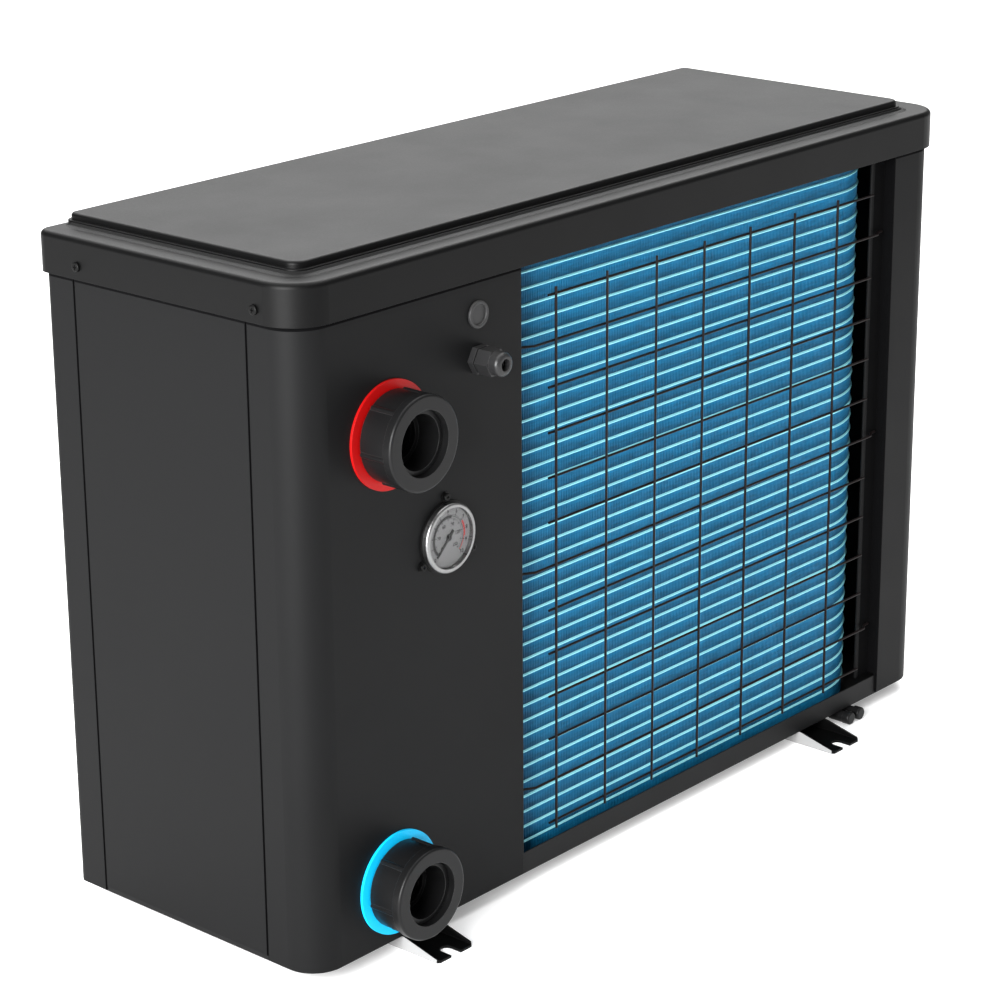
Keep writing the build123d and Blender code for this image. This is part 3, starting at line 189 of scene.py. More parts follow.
# %% [markdown]
# **Grain and edges.** Powder coat has orange peel and moulded plastic has a spark-eroded skin: both are
# fine bumps. No real edge is a knife edge either, so a Bevel node rounds the shading over a fraction of a
# millimetre. Where that rounded normal differs from the true one there is an edge, which gives a mask for
# rubbed corners at no further cost.

# %% Group: grain and edges
FLOAT, VECTOR = "NodeSocketFloat", "NodeSocketVector"
BROAD_CELLS_PER_METRE = 9.0
FINE_SHARE, BROAD_SHARE = 0.35, 0.65  # of the tone
EDGE_GAIN = 6.0


def make_grain_group():
    group, into, out = new_group(
        "grain and edges",
        [("Grain Size mm", FLOAT, 1.5), ("Grain Depth mm", FLOAT, 0.02), ("Edge Radius mm", FLOAT, 0.8)],
        [("Normal", VECTOR), ("Tone", FLOAT), ("Edge", FLOAT)],
    )
    cells_per_metre = math_node(group, "DIVIDE", 1000.0, into.outputs["Grain Size mm"])
    grain = noise_node(group, cells_per_metre, 2.0)
    broad = noise_node(group, BROAD_CELLS_PER_METRE, 3.0)
    bevel = group.nodes.new("ShaderNodeBevel")
    bevel.samples = 4
    group.links.new(math_node(group, "MULTIPLY", into.outputs["Edge Radius mm"], MM), bevel.inputs["Radius"])
    bump = group.nodes.new("ShaderNodeBump")
    bump.inputs["Strength"].default_value = 1.0
    depth = math_node(group, "MULTIPLY", into.outputs["Grain Depth mm"], MM)
    group.links.new(depth, bump.inputs["Distance"])
    group.links.new(grain, bump.inputs["Height"])
    group.links.new(bevel.outputs["Normal"], bump.inputs["Normal"])
    face = group.nodes.new("ShaderNodeNewGeometry")
    likeness = group.nodes.new("ShaderNodeVectorMath")
    likeness.operation = "DOT_PRODUCT"
    group.links.new(bevel.outputs["Normal"], likeness.inputs[0])
    group.links.new(face.outputs["Normal"], likeness.inputs[1])
    turned = math_node(group, "SUBTRACT", 1.0, likeness.outputs["Value"])
    rubbed = math_node(group, "MULTIPLY", math_node(group, "MULTIPLY", turned, EDGE_GAIN), grain, clamp=True)
    fine_part = math_node(group, "MULTIPLY", grain, FINE_SHARE)
    broad_part = math_node(group, "MULTIPLY", broad, BROAD_SHARE)
    tone = math_node(group, "ADD", fine_part, broad_part)
    group.links.new(bump.outputs["Normal"], out.inputs["Normal"])
    group.links.new(tone, out.inputs["Tone"])
    group.links.new(rubbed, out.inputs["Edge"])
    return group


GRAIN = make_grain_group()
print("group:", GRAIN.name, [s.name for s in GRAIN.interface.items_tree])

# %% [markdown]
# **Settled dust.** Dust lies on what faces up, in soft patches. The mask is the upward part of the true
# normal times broad noise.

# %% Group: settled dust
LEVEL_FROM, LEVEL_GAIN = 0.45, 1.8  # how far a face must turn up before dust lies on it
PATCH_GAIN = 0.6


def make_dust_group():
    group, into, out = new_group("settled dust", [("Amount", FLOAT, 0.2)], [("Mask", FLOAT)])
    face = group.nodes.new("ShaderNodeNewGeometry")
    split = group.nodes.new("ShaderNodeSeparateXYZ")
    group.links.new(face.outputs["True Normal"], split.inputs["Vector"])
    above = math_node(group, "SUBTRACT", split.outputs["Z"], LEVEL_FROM)
    upward = math_node(group, "MULTIPLY", above, LEVEL_GAIN, clamp=True)
    patches = math_node(group, "ADD", noise_node(group, 14.0, 6.0), noise_node(group, 900.0, 2.0))
    lying = math_node(group, "MULTIPLY", upward, math_node(group, "MULTIPLY", patches, PATCH_GAIN))
    mask = math_node(group, "MULTIPLY", lying, into.outputs["Amount"], clamp=True)
    group.links.new(mask, out.inputs["Mask"])
    return group


DUST = make_dust_group()
print("group:", DUST.name)

# %% [markdown]
# **Drawn lines.** Tube, ground shafts and brushed steel carry fine lines along one direction. Noise
# squeezed across that direction gives both the streaks in the tone and the slight bump.

# %% Group: drawn lines
def make_lines_group(name, stretch):
    group, into, out = new_group(name, [("Depth mm", FLOAT, 0.01)], [("Normal", VECTOR), ("Tone", FLOAT)])
    streaks = noise_node(group, 400.0, 3.0, stretch)
    bump = group.nodes.new("ShaderNodeBump")
    group.links.new(math_node(group, "MULTIPLY", into.outputs["Depth mm"], MM), bump.inputs["Distance"])
    group.links.new(streaks, bump.inputs["Height"])
    group.links.new(bump.outputs["Normal"], out.inputs["Normal"])
    group.links.new(streaks, out.inputs["Tone"])
    return group


LINES_ALONG_Z = make_lines_group("drawn lines upright", (2.0, 2.0, 0.05))
LINES_ALONG_Y = make_lines_group("drawn lines front to back", (2.0, 0.05, 2.0))
print("groups:", LINES_ALONG_Z.name, "and", LINES_ALONG_Y.name)

# %% [markdown]
# ## Finishes
# One builder makes every painted or moulded finish, because they differ only in numbers: grain, gloss, how
# much the edges are rubbed and how much dust they hold. Constant values stay on the shader's own sockets.

# %% Builder for painted and moulded finishes
def mix_colour(tree, mask, first, second):
    """Mixes two colours, each a socket or an RGB triple, by a mask that is a socket or a number."""
    node = tree.nodes.new("ShaderNodeMix")
    node.data_type = "RGBA"
    if isinstance(mask, float):
        node.inputs["Factor"].default_value = mask
    else:
        tree.links.new(mask, node.inputs["Factor"])
    for label, value in (("A", first), ("B", second)):
        socket = [s for s in node.inputs if s.name == label and s.type == "RGBA"][0]
        if isinstance(value, tuple):
            socket.default_value = (*value, 1)
        else:
            tree.links.new(value, socket)
    return [s for s in node.outputs if s.type == "RGBA"][0]


def place_group(tree, group, **values):
    """Puts a node group in a material. Underscores in a value's name stand for spaces."""
    node = tree.nodes.new("ShaderNodeGroup")
    node.node_tree = group
    for label, value in values.items():
        node.inputs[label.replace("_", " ")].default_value = value
    return node


def shade(colour, factor):
    return tuple(min(1.0, c * factor) for c in colour)


def split_coordinates(tree, kind="Object"):
    """The X, Y and Z outputs of one kind of texture coordinates."""
    where = tree.nodes.new("ShaderNodeTexCoord")
    split = tree.nodes.new("ShaderNodeSeparateXYZ")
    tree.links.new(where.outputs[kind], split.inputs["Vector"])
    return split.outputs


def lay_over(material, mask, colour):
    """Lays a colour over a finish where the mask is 1."""
    tree = material.node_tree
    base = tree.nodes["Principled BSDF"].inputs["Base Color"]
    tree.links.new(mix_colour(tree, mask, base.links[0].from_socket, colour), base)


DUST_COLOUR = (0.34, 0.33, 0.31)
RUBBED_LIFT = 0.12  # how much paler a rubbed edge is than the paint
ROUGH_SPREAD = 0.25
COAT_ROUGHNESS = 0.12


def coated(
    name, colour, roughness, grain=1.5, depth=0.02, edge=0.8, rubbed=0.15, dust=0.1, gloss=0.5, coat=0.0
):
    """A painted or moulded surface: grain, rubbed edges and a little dust over one base colour."""
    material = bpy.data.materials.new(name)
    material.use_nodes = True
    tree = material.node_tree
    shader = tree.nodes["Principled BSDF"]
    skin = place_group(tree, GRAIN, Grain_Size_mm=grain, Grain_Depth_mm=depth, Edge_Radius_mm=edge)
    dirt = place_group(tree, DUST, Amount=dust)
    base = mix_colour(tree, skin.outputs["Tone"], shade(colour, 0.82), shade(colour, 1.2))
    worn = math_node(tree, "MULTIPLY", skin.outputs["Edge"], rubbed)
    base = mix_colour(tree, worn, base, tuple(c + RUBBED_LIFT for c in colour))
    base = mix_colour(tree, dirt.outputs["Mask"], base, DUST_COLOUR)
    centred = math_node(tree, "SUBTRACT", skin.outputs["Tone"], 0.5)
    spread = math_node(tree, "MULTIPLY", centred, ROUGH_SPREAD)
    rough = math_node(tree, "ADD", spread, roughness)
    rough = math_node(tree, "ADD", rough, dirt.outputs["Mask"], clamp=True)
    tree.links.new(base, shader.inputs["Base Color"])
    tree.links.new(rough, shader.inputs["Roughness"])
    tree.links.new(skin.outputs["Normal"], shader.inputs["Normal"])
    shader.inputs["Specular IOR Level"].default_value = gloss
    shader.inputs["Coat Weight"].default_value = coat
    shader.inputs["Coat Roughness"].default_value = COAT_ROUGHNESS
    return material


POLISH_SPREAD = 0.3


def bare_metal(name, colour, roughness, lines, depth=0.01):
    """Metal with drawn lines and a mottled polish."""
    material = bpy.data.materials.new(name)
    material.use_nodes = True
    tree = material.node_tree
    shader = tree.nodes["Principled BSDF"]
    drawn = place_group(tree, lines, Depth_mm=depth)
    base = mix_colour(tree, drawn.outputs["Tone"], shade(colour, 0.8), shade(colour, 1.12))
    centred = math_node(tree, "SUBTRACT", drawn.outputs["Tone"], 0.5)
    spread = math_node(tree, "MULTIPLY", centred, POLISH_SPREAD)
    tree.links.new(base, shader.inputs["Base Color"])
    tree.links.new(math_node(tree, "ADD", spread, roughness, clamp=True), shader.inputs["Roughness"])
    tree.links.new(drawn.outputs["Normal"], shader.inputs["Normal"])
    shader.inputs["Metallic"].default_value = 1.0
    return material


print("builders: coated and bare_metal")

# %% [markdown]
# The casing is charcoal powder coat, a matt film baked on steel. The lid is the same film, a shade smoother
# and darker, so that it mirrors the bright studio behind it. The pan is blacker. The zinc feet are painted
# near black as shade, with zinc grey painted as their lit side on the left cheeks only. The galvanised
# sheets inside are part metallic.

# %% Paints
CHARCOAL = (0.0046, 0.0047, 0.0049)
CASING_PAINT = coated(
    "casing_paint", CHARCOAL, 0.50, grain=1.4, edge=0.9, rubbed=0.05, dust=0.008, gloss=0.08
)
LID_PAINT = coated(
    "lid_paint", shade(CHARCOAL, 0.3), 0.42, grain=1.4, edge=0.6, rubbed=0.02, dust=0.003, gloss=0.11
)
FOOT_LIT_ZINC = (0.26, 0.26, 0.26)
PAN_PAINT = coated("pan_paint", (0.005, 0.005, 0.0053), 0.5, rubbed=0.05, dust=0.02, gloss=0.12)
# The feet's near black is painted shade over their zinc.
FOOT_SHADED_PAINT = coated("foot_paint", (0.001, 0.001, 0.001), 0.45, edge=0.6, rubbed=0.1, dust=0.0, gloss=0.08)
SCREW_BLACK = coated(
    "screw_black", (0.002, 0.002, 0.002), 0.34, grain=0.6, edge=0.3, rubbed=0.0, dust=0.0, gloss=0.1
)
WIRE_BLACK = coated(
    "guard_wire", (0.006, 0.004, 0.004), 0.4, grain=0.8, edge=0.2, rubbed=0.0, dust=0.0, gloss=0.1
)
MOTOR_PAINT = coated("motor_paint", (0.05, 0.05, 0.055), 0.4, grain=1.0, rubbed=0.3, dust=0.3)
COMPRESSOR_PAINT = coated("compressor_paint", (0.012, 0.012, 0.012), 0.3, grain=2.2, depth=0.04, dust=0.2)
GALVANISED = coated("galvanised", (0.42, 0.43, 0.44), 0.38, grain=6.0, depth=0.004, edge=0.6, dust=0.2)
GALVANISED.node_tree.nodes["Principled BSDF"].inputs["Metallic"].default_value = 0.8
LIT_CHEEK_SHARE = 0.01  # of the foot's width
# The foot's left cheek is painted zinc grey, as the side that the key light falls on.
foot_tree = FOOT_SHADED_PAINT.node_tree
lit_cheek = math_node(foot_tree, "LESS_THAN", split_coordinates(foot_tree, "Generated")["X"], LIT_CHEEK_SHARE)
lay_over(FOOT_SHADED_PAINT, lit_cheek, FOOT_LIT_ZINC)
print("paints:", [m.name for m in (CASING_PAINT, LID_PAINT, PAN_PAINT, FOOT_SHADED_PAINT)], "and five more")

# %% [markdown]
# Painted shade: a dark band is painted beside each joint between the panels, for the shade in the gap.
# The same is painted just under the lid and on the return behind the coil's opening, where shade falls.
# One group finds those places from object coordinates, and the casing's paint goes dark and matt there.

# %% Group: painted shade at joints, under the lid and in the return
LEFT_WALL_X, SKIRT_Z = -470 * MM, 613 * MM
SEAMS_Y = (-105 * MM, 112 * MM)
RETURN_X = (379 * MM, 398.6 * MM)  # between the lip's hem and the rear face
RETURN_Y = -140 * MM
JOINT_SHADE_DARK = (0.0008, 0.0008, 0.001)


def make_joint_group():
    inputs = [("Half Width mm", FLOAT, 1.4), ("Lid Shade mm", FLOAT, 4.2)]
    group, into, out = new_group("painted shade at joints", inputs, [("Mask", FLOAT)])
    spot = split_coordinates(group)
    half = math_node(group, "MULTIPLY", into.outputs["Half Width mm"], MM)
    seams = 0.0
    # Painted shade: a dark band beside each seam on the left wall.
    for seam_y in SEAMS_Y:
        away = math_node(group, "ABSOLUTE", math_node(group, "SUBTRACT", spot["Y"], seam_y))
        seams = math_node(group, "ADD", math_node(group, "LESS_THAN", away, half), seams)
    on_left = math_node(group, "LESS_THAN", spot["X"], LEFT_WALL_X)
    seams = math_node(group, "MULTIPLY", seams, on_left)
    # Painted shade: the strip just under the lid's skirt.
    shade_height = math_node(group, "MULTIPLY", into.outputs["Lid Shade mm"], MM)
    shade_from = math_node(group, "SUBTRACT", SKIRT_Z, shade_height)
    shade_under_lid = math_node(group, "GREATER_THAN", spot["Z"], shade_from)
    # Painted shade: the return behind the coil's opening.
    shaded_return = math_node(group, "GREATER_THAN", spot["X"], RETURN_X[0])
    shaded_return = math_node(group, "MULTIPLY", shaded_return, math_node(group, "LESS_THAN", spot["X"], RETURN_X[1]))
    shaded_return = math_node(group, "MULTIPLY", shaded_return, math_node(group, "LESS_THAN", spot["Y"], RETURN_Y))
    both = math_node(group, "ADD", seams, shade_under_lid)
    group.links.new(math_node(group, "ADD", both, shaded_return, clamp=True), out.inputs["Mask"])
    return group


casing_tree = CASING_PAINT.node_tree
joint_shade_mask = place_group(casing_tree, make_joint_group()).outputs["Mask"]
# The casing is painted near black and matt in these places, as painted shade.
lay_over(CASING_PAINT, joint_shade_mask, JOINT_SHADE_DARK)
casing_rough = casing_tree.nodes["Principled BSDF"].inputs["Roughness"]
matt = math_node(casing_tree, "ADD", casing_rough.links[0].from_socket, joint_shade_mask, clamp=True)
casing_tree.links.new(matt, casing_rough)
print("group: painted shade at joints, at", len(SEAMS_Y), "seams, under the lid and in the return")

# %% [markdown]
# Mouldings. The unions, gland and drains are glass-filled nylon and ABS with a fine eroded skin. The two
# rings behind the nuts are satin: red marks the warm outlet, blue the inlet.

# %% Mouldings
UNION_BLACK = coated(
    "union_black", (0.0045, 0.0045, 0.0047), 0.36, grain=0.7, edge=0.7, rubbed=0.3, dust=0.0, gloss=0.16
)
GLAND_BLACK = coated(
    "gland_black", (0.014, 0.014, 0.0145), 0.34, grain=0.6, depth=0.01, edge=0.5, dust=0.03, gloss=0.3
)
RUBBER = coated("rubber_black", (0.010, 0.010, 0.0105), 0.55, grain=0.9, depth=0.015, edge=0.6, rubbed=0.1)
RING_RED = coated(
    "ring_red", (0.30, 0.001, 0.001), 0.5, grain=1.2, depth=0.005, edge=0.4, rubbed=0.1, dust=0.0, gloss=0.2
)
RING_BLUE = coated(
    "ring_blue", (0.003, 0.45, 0.80), 0.5, grain=1.2, depth=0.005, edge=0.4, rubbed=0.1, dust=0.0, gloss=0.2
)
FAN_GUARD_BLACK = coated("fan_guard_plastic", (0.016, 0.016, 0.017), 0.45, grain=0.9, edge=0.5, dust=0.15)
FAN_BLACK = coated("fan_plastic", (0.03, 0.03, 0.032), 0.4, grain=1.2, edge=0.4, dust=0.2)
TANK_BLACK = coated("tank_plastic", (0.05, 0.05, 0.052), 0.4, grain=1.5, dust=0.3)
BOX_GREY = coated("box_plastic", (0.42, 0.42, 0.41), 0.45, grain=1.0, dust=0.1)
KEYPAD_BLACK = coated(
    "keypad_plastic", (0.012, 0.012, 0.013), 0.22, grain=0.8, depth=0.004, edge=0.8, coat=0.3
)
KEY_GREY = coated("key_plastic", (0.23, 0.235, 0.24), 0.45, grain=0.7, depth=0.01, edge=0.5)
BOARD_GREEN = coated("board_green", (0.012, 0.13, 0.045), 0.3, grain=3.0, depth=0.03, edge=0.2, dust=0.1)
print("mouldings:", sum(m.name.endswith("plastic") for m in bpy.data.materials), "of them plain plastic")

# %% [markdown]
# Bare metals: drawn copper and titanium tube, a ground shaft, brass valves and the polished bezel.

# %% Bare metals
COPPER = bare_metal("copper_tube", (0.78, 0.36, 0.22), 0.30, LINES_ALONG_Z)
TITANIUM = bare_metal("titanium", (0.42, 0.40, 0.38), 0.35, LINES_ALONG_Z)
BRASS = bare_metal("valve_brass", (0.72, 0.52, 0.22), 0.32, LINES_ALONG_Y)
SHAFT_STEEL = bare_metal("shaft_steel", (0.56, 0.56, 0.57), 0.25, LINES_ALONG_Y)
ZINC = bare_metal("zinc_steel", (0.62, 0.62, 0.60), 0.35, LINES_ALONG_Y)
IRON = bare_metal("pump_iron", (0.22, 0.22, 0.22), 0.5, LINES_ALONG_Z)
STATOR = bare_metal("stator_steel", (0.30, 0.28, 0.26), 0.45, LINES_ALONG_Z)
BEZEL_STEEL = bare_metal("gauge_steel", (0.24, 0.24, 0.24), 0.32, LINES_ALONG_Y, depth=0.003)
print("bare metals: copper, titanium, brass, shaft, zinc, iron, stator and bezel steel")

# %% [markdown]
# The fins are aluminium with a blue hydrophilic film. The film is thin, so the metal still glints through
# it: part metallic, with a fine upright streak where each fin was pressed. The film carries painted light:
# a painted glow just below each spacer ridge that fades to painted shade down to the next one. The ridges
# catch the light with their sloped flanks, and their pale cyan colour is a painted highlight on top of that.

# %% Fin and ridge finish, with painted glow, shade and highlight
RIDGE_PITCH, RIDGE_COUNT, RIDGE_LOW_Z = 15.64 * MM, 39, 36.6 * MM
GLOW_FALL_CURVE, FILM_AND_BANDS_SHARE = 0.7, 0.8
STREAK_STRETCH = (0.25, 0.25, 1.6)


def fin_finish(name, colour, metallic, roughness, mottle):
    """Blue fin colour with a painted glow just below each ridge and painted shade down to the next one."""
    material = bare_metal(name, colour, roughness, LINES_ALONG_Z, depth=0.02)
    tree = material.node_tree
    shader = tree.nodes["Principled BSDF"]
    shader.inputs["Metallic"].default_value = metallic
    # Painted glow just below each ridge, fading to painted shade down to the next one.
    drop = math_node(tree, "SUBTRACT", RIDGE_LOW_Z, split_coordinates(tree)["Z"])
    levels = math_node(tree, "DIVIDE", drop, RIDGE_PITCH)
    glow_to_shade = math_node(tree, "POWER", math_node(tree, "FRACT", levels), GLOW_FALL_CURVE)
    streaks = noise_node(tree, 260.0, 4.0, STREAK_STRETCH)
    patchy = math_node(tree, "MULTIPLY", math_node(tree, "SUBTRACT", streaks, 0.5), mottle)
    tone = math_node(tree, "ADD", glow_to_shade, patchy, clamp=True)
    film_glow_and_shade = mix_colour(tree, tone, shade(colour, 1.0 + mottle), shade(colour, 1.0 - 0.5 * mottle))
    lay_over(material, FILM_AND_BANDS_SHARE, film_glow_and_shade)
    return material


FIN_BLUE = fin_finish("fin_blue", (0.006, 0.138, 0.280), 0.1, 0.42, 1.0)
# The ridges' pale cyan is a painted highlight, over the light that their sloped flanks really catch.
RIDGE_HIGHLIGHT_CYAN = fin_finish("ridge_painted_highlight", (0.25, 0.66, 0.74), 0.0, 0.4, 0.3)
print("fin finishes:", FIN_BLUE.name, "and", RIDGE_HIGHLIGHT_CYAN.name)

# %% [markdown]
# The gauge face is a lacquered plate with plain print on it, under a clear lens. Glass keeps a plain
# transmission.

# %% Dial and lens finish
DIAL_WHITE = coated(
    "dial_face", (0.25, 0.25, 0.255), 0.4, grain=0.5, depth=0.004, edge=0.1, rubbed=0.0, dust=0.0
)
PRINT_BLACK = coated("needle_black", (0.012, 0.012, 0.012), 0.5, grain=0.4, depth=0.003, edge=0.1, dust=0.0)
PRINT_RED = coated("print_red", (0.62, 0.03, 0.03), 0.5, grain=0.4, depth=0.003, edge=0.1, dust=0.0)
LENS = bpy.data.materials.new("gauge_glass")
LENS.use_nodes = True
lens_tree = LENS.node_tree
lens_shader = lens_tree.nodes["Principled BSDF"]
lens_shader.inputs["Transmission Weight"].default_value = 1.0
lens_shader.inputs["IOR"].default_value = 1.12
SMEAR_DEPTH = 0.02
lens_smear = math_node(lens_tree, "MULTIPLY", noise_node(lens_tree, 120.0, 4.0), SMEAR_DEPTH)
lens_tree.links.new(lens_smear, lens_shader.inputs["Roughness"])
print("dial finishes:", DIAL_WHITE.name, PRINT_BLACK.name, PRINT_RED.name, LENS.name)

# %% [markdown]
# ## Finishes on the CAD parts
# These parts already have their true shape, so they only change their material.

# %% Put the finishes on the CAD parts
FINISH_OF = {
    CASING_PAINT: ["service_panel", "left_panel", "front_panel", "right_panel"],
    LID_PAINT: ["lid"],
    PAN_PAINT: ["base_pan"],
    FOOT_SHADED_PAINT: ["foot_left", "foot_right"],
    SCREW_BLACK: ["casing_screws", "gauge_bracket"],
    WIRE_BLACK: ["coil_guard"],
    GALVANISED: ["partition", "coil_end_plates", "fan_bracket"],
    MOTOR_PAINT: ["fan_motor"],
    COMPRESSOR_PAINT: ["compressor_shell", "compressor_cap"],
    UNION_BLACK: [f"{side}_{part}" for side in ("outlet", "inlet") for part in ("nut", "tail", "socket")]
    + ["drain_elbows", "flow_switch"],
    GLAND_BLACK: ["gland_body", "gland_cap"],
    RUBBER: ["gland_seal", "cable_grommet", "compressor_rubbers", "outlet_seal", "inlet_seal"],
    RING_RED: ["outlet_ring"],
    RING_BLUE: ["inlet_ring"],
    FAN_GUARD_BLACK: ["fan_guard"],
    FAN_BLACK: ["fan_blade"],
    TANK_BLACK: ["exchanger_tank", "exchanger_cap"],
    BOX_GREY: ["electric_box"],
    BOARD_GREEN: ["control_board"],
    KEYPAD_BLACK: ["controller_case"],
    KEY_GREY: ["button_power", "button_up", "button_down"],
    COPPER: ["coil_return_bends", "refrigerant_pipes"],
    TITANIUM: ["titanium_coil"],
    BRASS: ["reversing_valve", "expansion_valve"],
    SHAFT_STEEL: ["fan_shaft"],
    ZINC: ["fan_nut", "flow_paddle"],
    IRON: ["compressor_pump"],
    STATOR: ["compressor_stator", "compressor_rotor"],
    BEZEL_STEEL: ["gauge_case"],
    DIAL_WHITE: ["gauge_dial"],
    PRINT_BLACK: ["gauge_needle"],
    LENS: ["gauge_lens"],
}
for finish, parts in FINISH_OF.items():
    for part in parts:
        part_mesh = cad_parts[part].data
        part_mesh.materials.clear()
        part_mesh.materials.append(finish)
finished = {part for parts in FINISH_OF.values() for part in parts}
print(len(finished), "parts finished, still to build:", sorted(set(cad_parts) - finished))

# %% [markdown]
# ## Fin pack
# The coil is some hundreds of thin aluminium plates, threaded on tubes and bent round a corner. An array
# modifier along a curve could place the plates, but a short formula for the path puts each plate square to
# it and needs nothing to be evaluated. Distance along the path is measured on the middle of the pack.

# %% The coil's path
FIN_LOW, FIN_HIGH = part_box("coil_fins")
PACK_DEPTH = 38 * MM
BEND_OUTER = 100 * MM
BEND_MIDDLE = BEND_OUTER - PACK_DEPTH / 2
BEND_X, BEND_Y = FIN_HIGH.x - BEND_OUTER, FIN_LOW.y + BEND_OUTER
LONG_RUN = BEND_X - FIN_LOW.x
ARC_RUN = BEND_MIDDLE * math.pi / 2
SHORT_RUN = FIN_HIGH.y - BEND_Y
PATH_LENGTH = LONG_RUN + ARC_RUN + SHORT_RUN


def coil_frame(distance):
    """The middle of the pack at a distance along it, the direction along it, and the direction outwards."""
    if distance <= LONG_RUN:
        middle = Vector((FIN_LOW.x + distance, FIN_LOW.y + PACK_DEPTH / 2, 0))
        return middle, Vector((1, 0, 0)), Vector((0, -1, 0))
    if distance <= LONG_RUN + ARC_RUN:
        angle = (distance - LONG_RUN) / BEND_MIDDLE
        outward = Vector((math.sin(angle), -math.cos(angle), 0))
        along = Vector((math.cos(angle), math.sin(angle), 0))
        return Vector((BEND_X, BEND_Y, 0)) + outward * BEND_MIDDLE, along, outward
    past_bend = distance - LONG_RUN - ARC_RUN
    return Vector((BEND_X + BEND_MIDDLE, BEND_Y + past_bend, 0)), Vector((0, 1, 0)), Vector((1, 0, 0))


print("coil path", round(PATH_LENGTH / MM), "mm")

# %% Helper: a piece from lists of corners and faces
def piece(name, corners, faces, finish, slot, body, smooth=False):
    """Makes a mesh object, gives it its finish and lets it ride on a body. The slot is not used."""
    mesh = bpy.data.meshes.new(name)
    mesh.from_pydata([tuple(c) for c in corners], [], faces)
    mesh.materials.append(finish)
    mesh.validate()
    if smooth:
        mesh.shade_smooth()
    made = bpy.data.objects.new(name, mesh)
    bpy.context.scene.collection.objects.link(made)
    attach(made, body)
    return made


BOX_FACES = [(0, 3, 2, 1), (4, 5, 6, 7), (0, 1, 5, 4), (1, 2, 6, 5), (2, 3, 7, 6), (3, 0, 4, 7)]


def add_faces(faces, more, start):
    faces.extend(tuple(index + start for index in face) for face in more)


print("helpers: piece and add_faces")

# %% [markdown]
# Each fin is a thin closed plate. The real spacing is under 2 mm, finer than a picture of the whole unit
# can show, so the plates stand a little wider apart. The pressed ridges join from fin to fin, so each level
# of ridges is one strip that follows the whole path, with a flank that slopes up to the light.

# %% Fins and ridges
FIN_PITCH, FIN_T = 2.4 * MM, 0.5 * MM
RIDGE_PROFILE = [(0.0, -1.1), (1.2, -0.9), (1.5, -0.2), (1.1, 0.6), (0.0, 1.2)]  # outward and upward, mm
FIN_SETBACK, FIN_INSET = 2.1 * MM, 0.3 * MM  # behind the front and the back of the pack
BEND_STEPS = 14


def build_fins():
    corners, faces = [], []
    count = int(PATH_LENGTH / FIN_PITCH)
    outer, inner = PACK_DEPTH / 2 - FIN_SETBACK, -PACK_DEPTH / 2 + FIN_INSET
    for index in range(count):
        middle, along, outward = coil_frame((index + 0.5) * PATH_LENGTH / count)
        start = len(corners)
        for z in (FIN_LOW.z, FIN_HIGH.z):
            for depth, side in ((inner, -1), (outer, -1), (outer, 1), (inner, 1)):
                spot = middle + outward * depth + along * (side * FIN_T / 2)
                corners.append((spot.x, spot.y, z))
        add_faces(faces, BOX_FACES, start)
    return corners, faces, count


def ridge_stations():
    """Distances along the path where a strip has a section: the ends, and close steps round the bend."""
    bend = [LONG_RUN + ARC_RUN * step / BEND_STEPS for step in range(BEND_STEPS + 1)]
    return [0.0] + bend + [PATH_LENGTH]


def build_ridges():
    corners, faces = [], []
    stations, size = ridge_stations(), len(RIDGE_PROFILE)
    for level in range(RIDGE_COUNT):
        z0, start = RIDGE_LOW_Z + level * RIDGE_PITCH, len(corners)
        for distance in stations:
            middle, _, outward = coil_frame(distance)
            for out_mm, up_mm in RIDGE_PROFILE:
                spot = middle + outward * (PACK_DEPTH / 2 - FIN_SETBACK + out_mm * MM)
                corners.append((spot.x, spot.y, z0 + up_mm * MM))
        for section in range(len(stations) - 1):
            for side in range(size):
                first = start + section * size
                here, after = first + side, first + (side + 1) % size
                faces.append((here, here + size, after + size, after))
        faces.append(tuple(range(start, start + size)))
        last = start + (len(stations) - 1) * size
        faces.append(tuple(range(last + size - 1, last - 1, -1)))
    return corners, faces


fin_corners, fin_faces, fin_count = build_fins()
fin_pack = piece("fin_pack", fin_corners, fin_faces, FIN_BLUE, "fin_blue", "root")
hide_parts("coil_fins")
ridge_corners, ridge_faces = build_ridges()
piece("fin_ridges", ridge_corners, ridge_faces, RIDGE_HIGHLIGHT_CYAN, "fin_blue", "root")
print(fin_count, "fins and", RIDGE_COUNT, "ridges")

# %% [markdown]
# ## Tubes through the fins
# The refrigerant runs to and fro through the pack in straight copper tubes that bend with it, and joins up
# in the return bends that CAD holds. A curve with a round bevel is the natural way to make a tube, and one
# curve object holds them all.

# %% Coil tubes
TUBE_R, TUBE_PITCH, TUBE_COUNT = 4.76 * MM, 25.4 * MM, 24
TUBE_LOW_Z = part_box("coil_return_bends")[0].z + TUBE_R
END_INSET = 0.5 * MM


def build_tubes():
    curve = bpy.data.curves.new("coil_tubes", "CURVE")
    curve.dimensions, curve.bevel_depth, curve.bevel_resolution = "3D", TUBE_R, 3
    curve.use_fill_caps = True
    stations = [END_INSET] + ridge_stations()[1:-1] + [PATH_LENGTH - END_INSET]
    for level in range(TUBE_COUNT):
        spline = curve.splines.new("POLY")
        spline.points.add(len(stations) - 1)
        for point, distance in zip(spline.points, stations):
            middle = coil_frame(distance)[0]
            point.co = (middle.x, middle.y, TUBE_LOW_Z + level * TUBE_PITCH, 1)
    curve.materials.append(COPPER)
    made = bpy.data.objects.new("coil_tubes", curve)
    bpy.context.scene.collection.objects.link(made)
    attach(made, "root")


build_tubes()
print(TUBE_COUNT, "tubes from", round(TUBE_LOW_Z / MM, 1), "mm up")

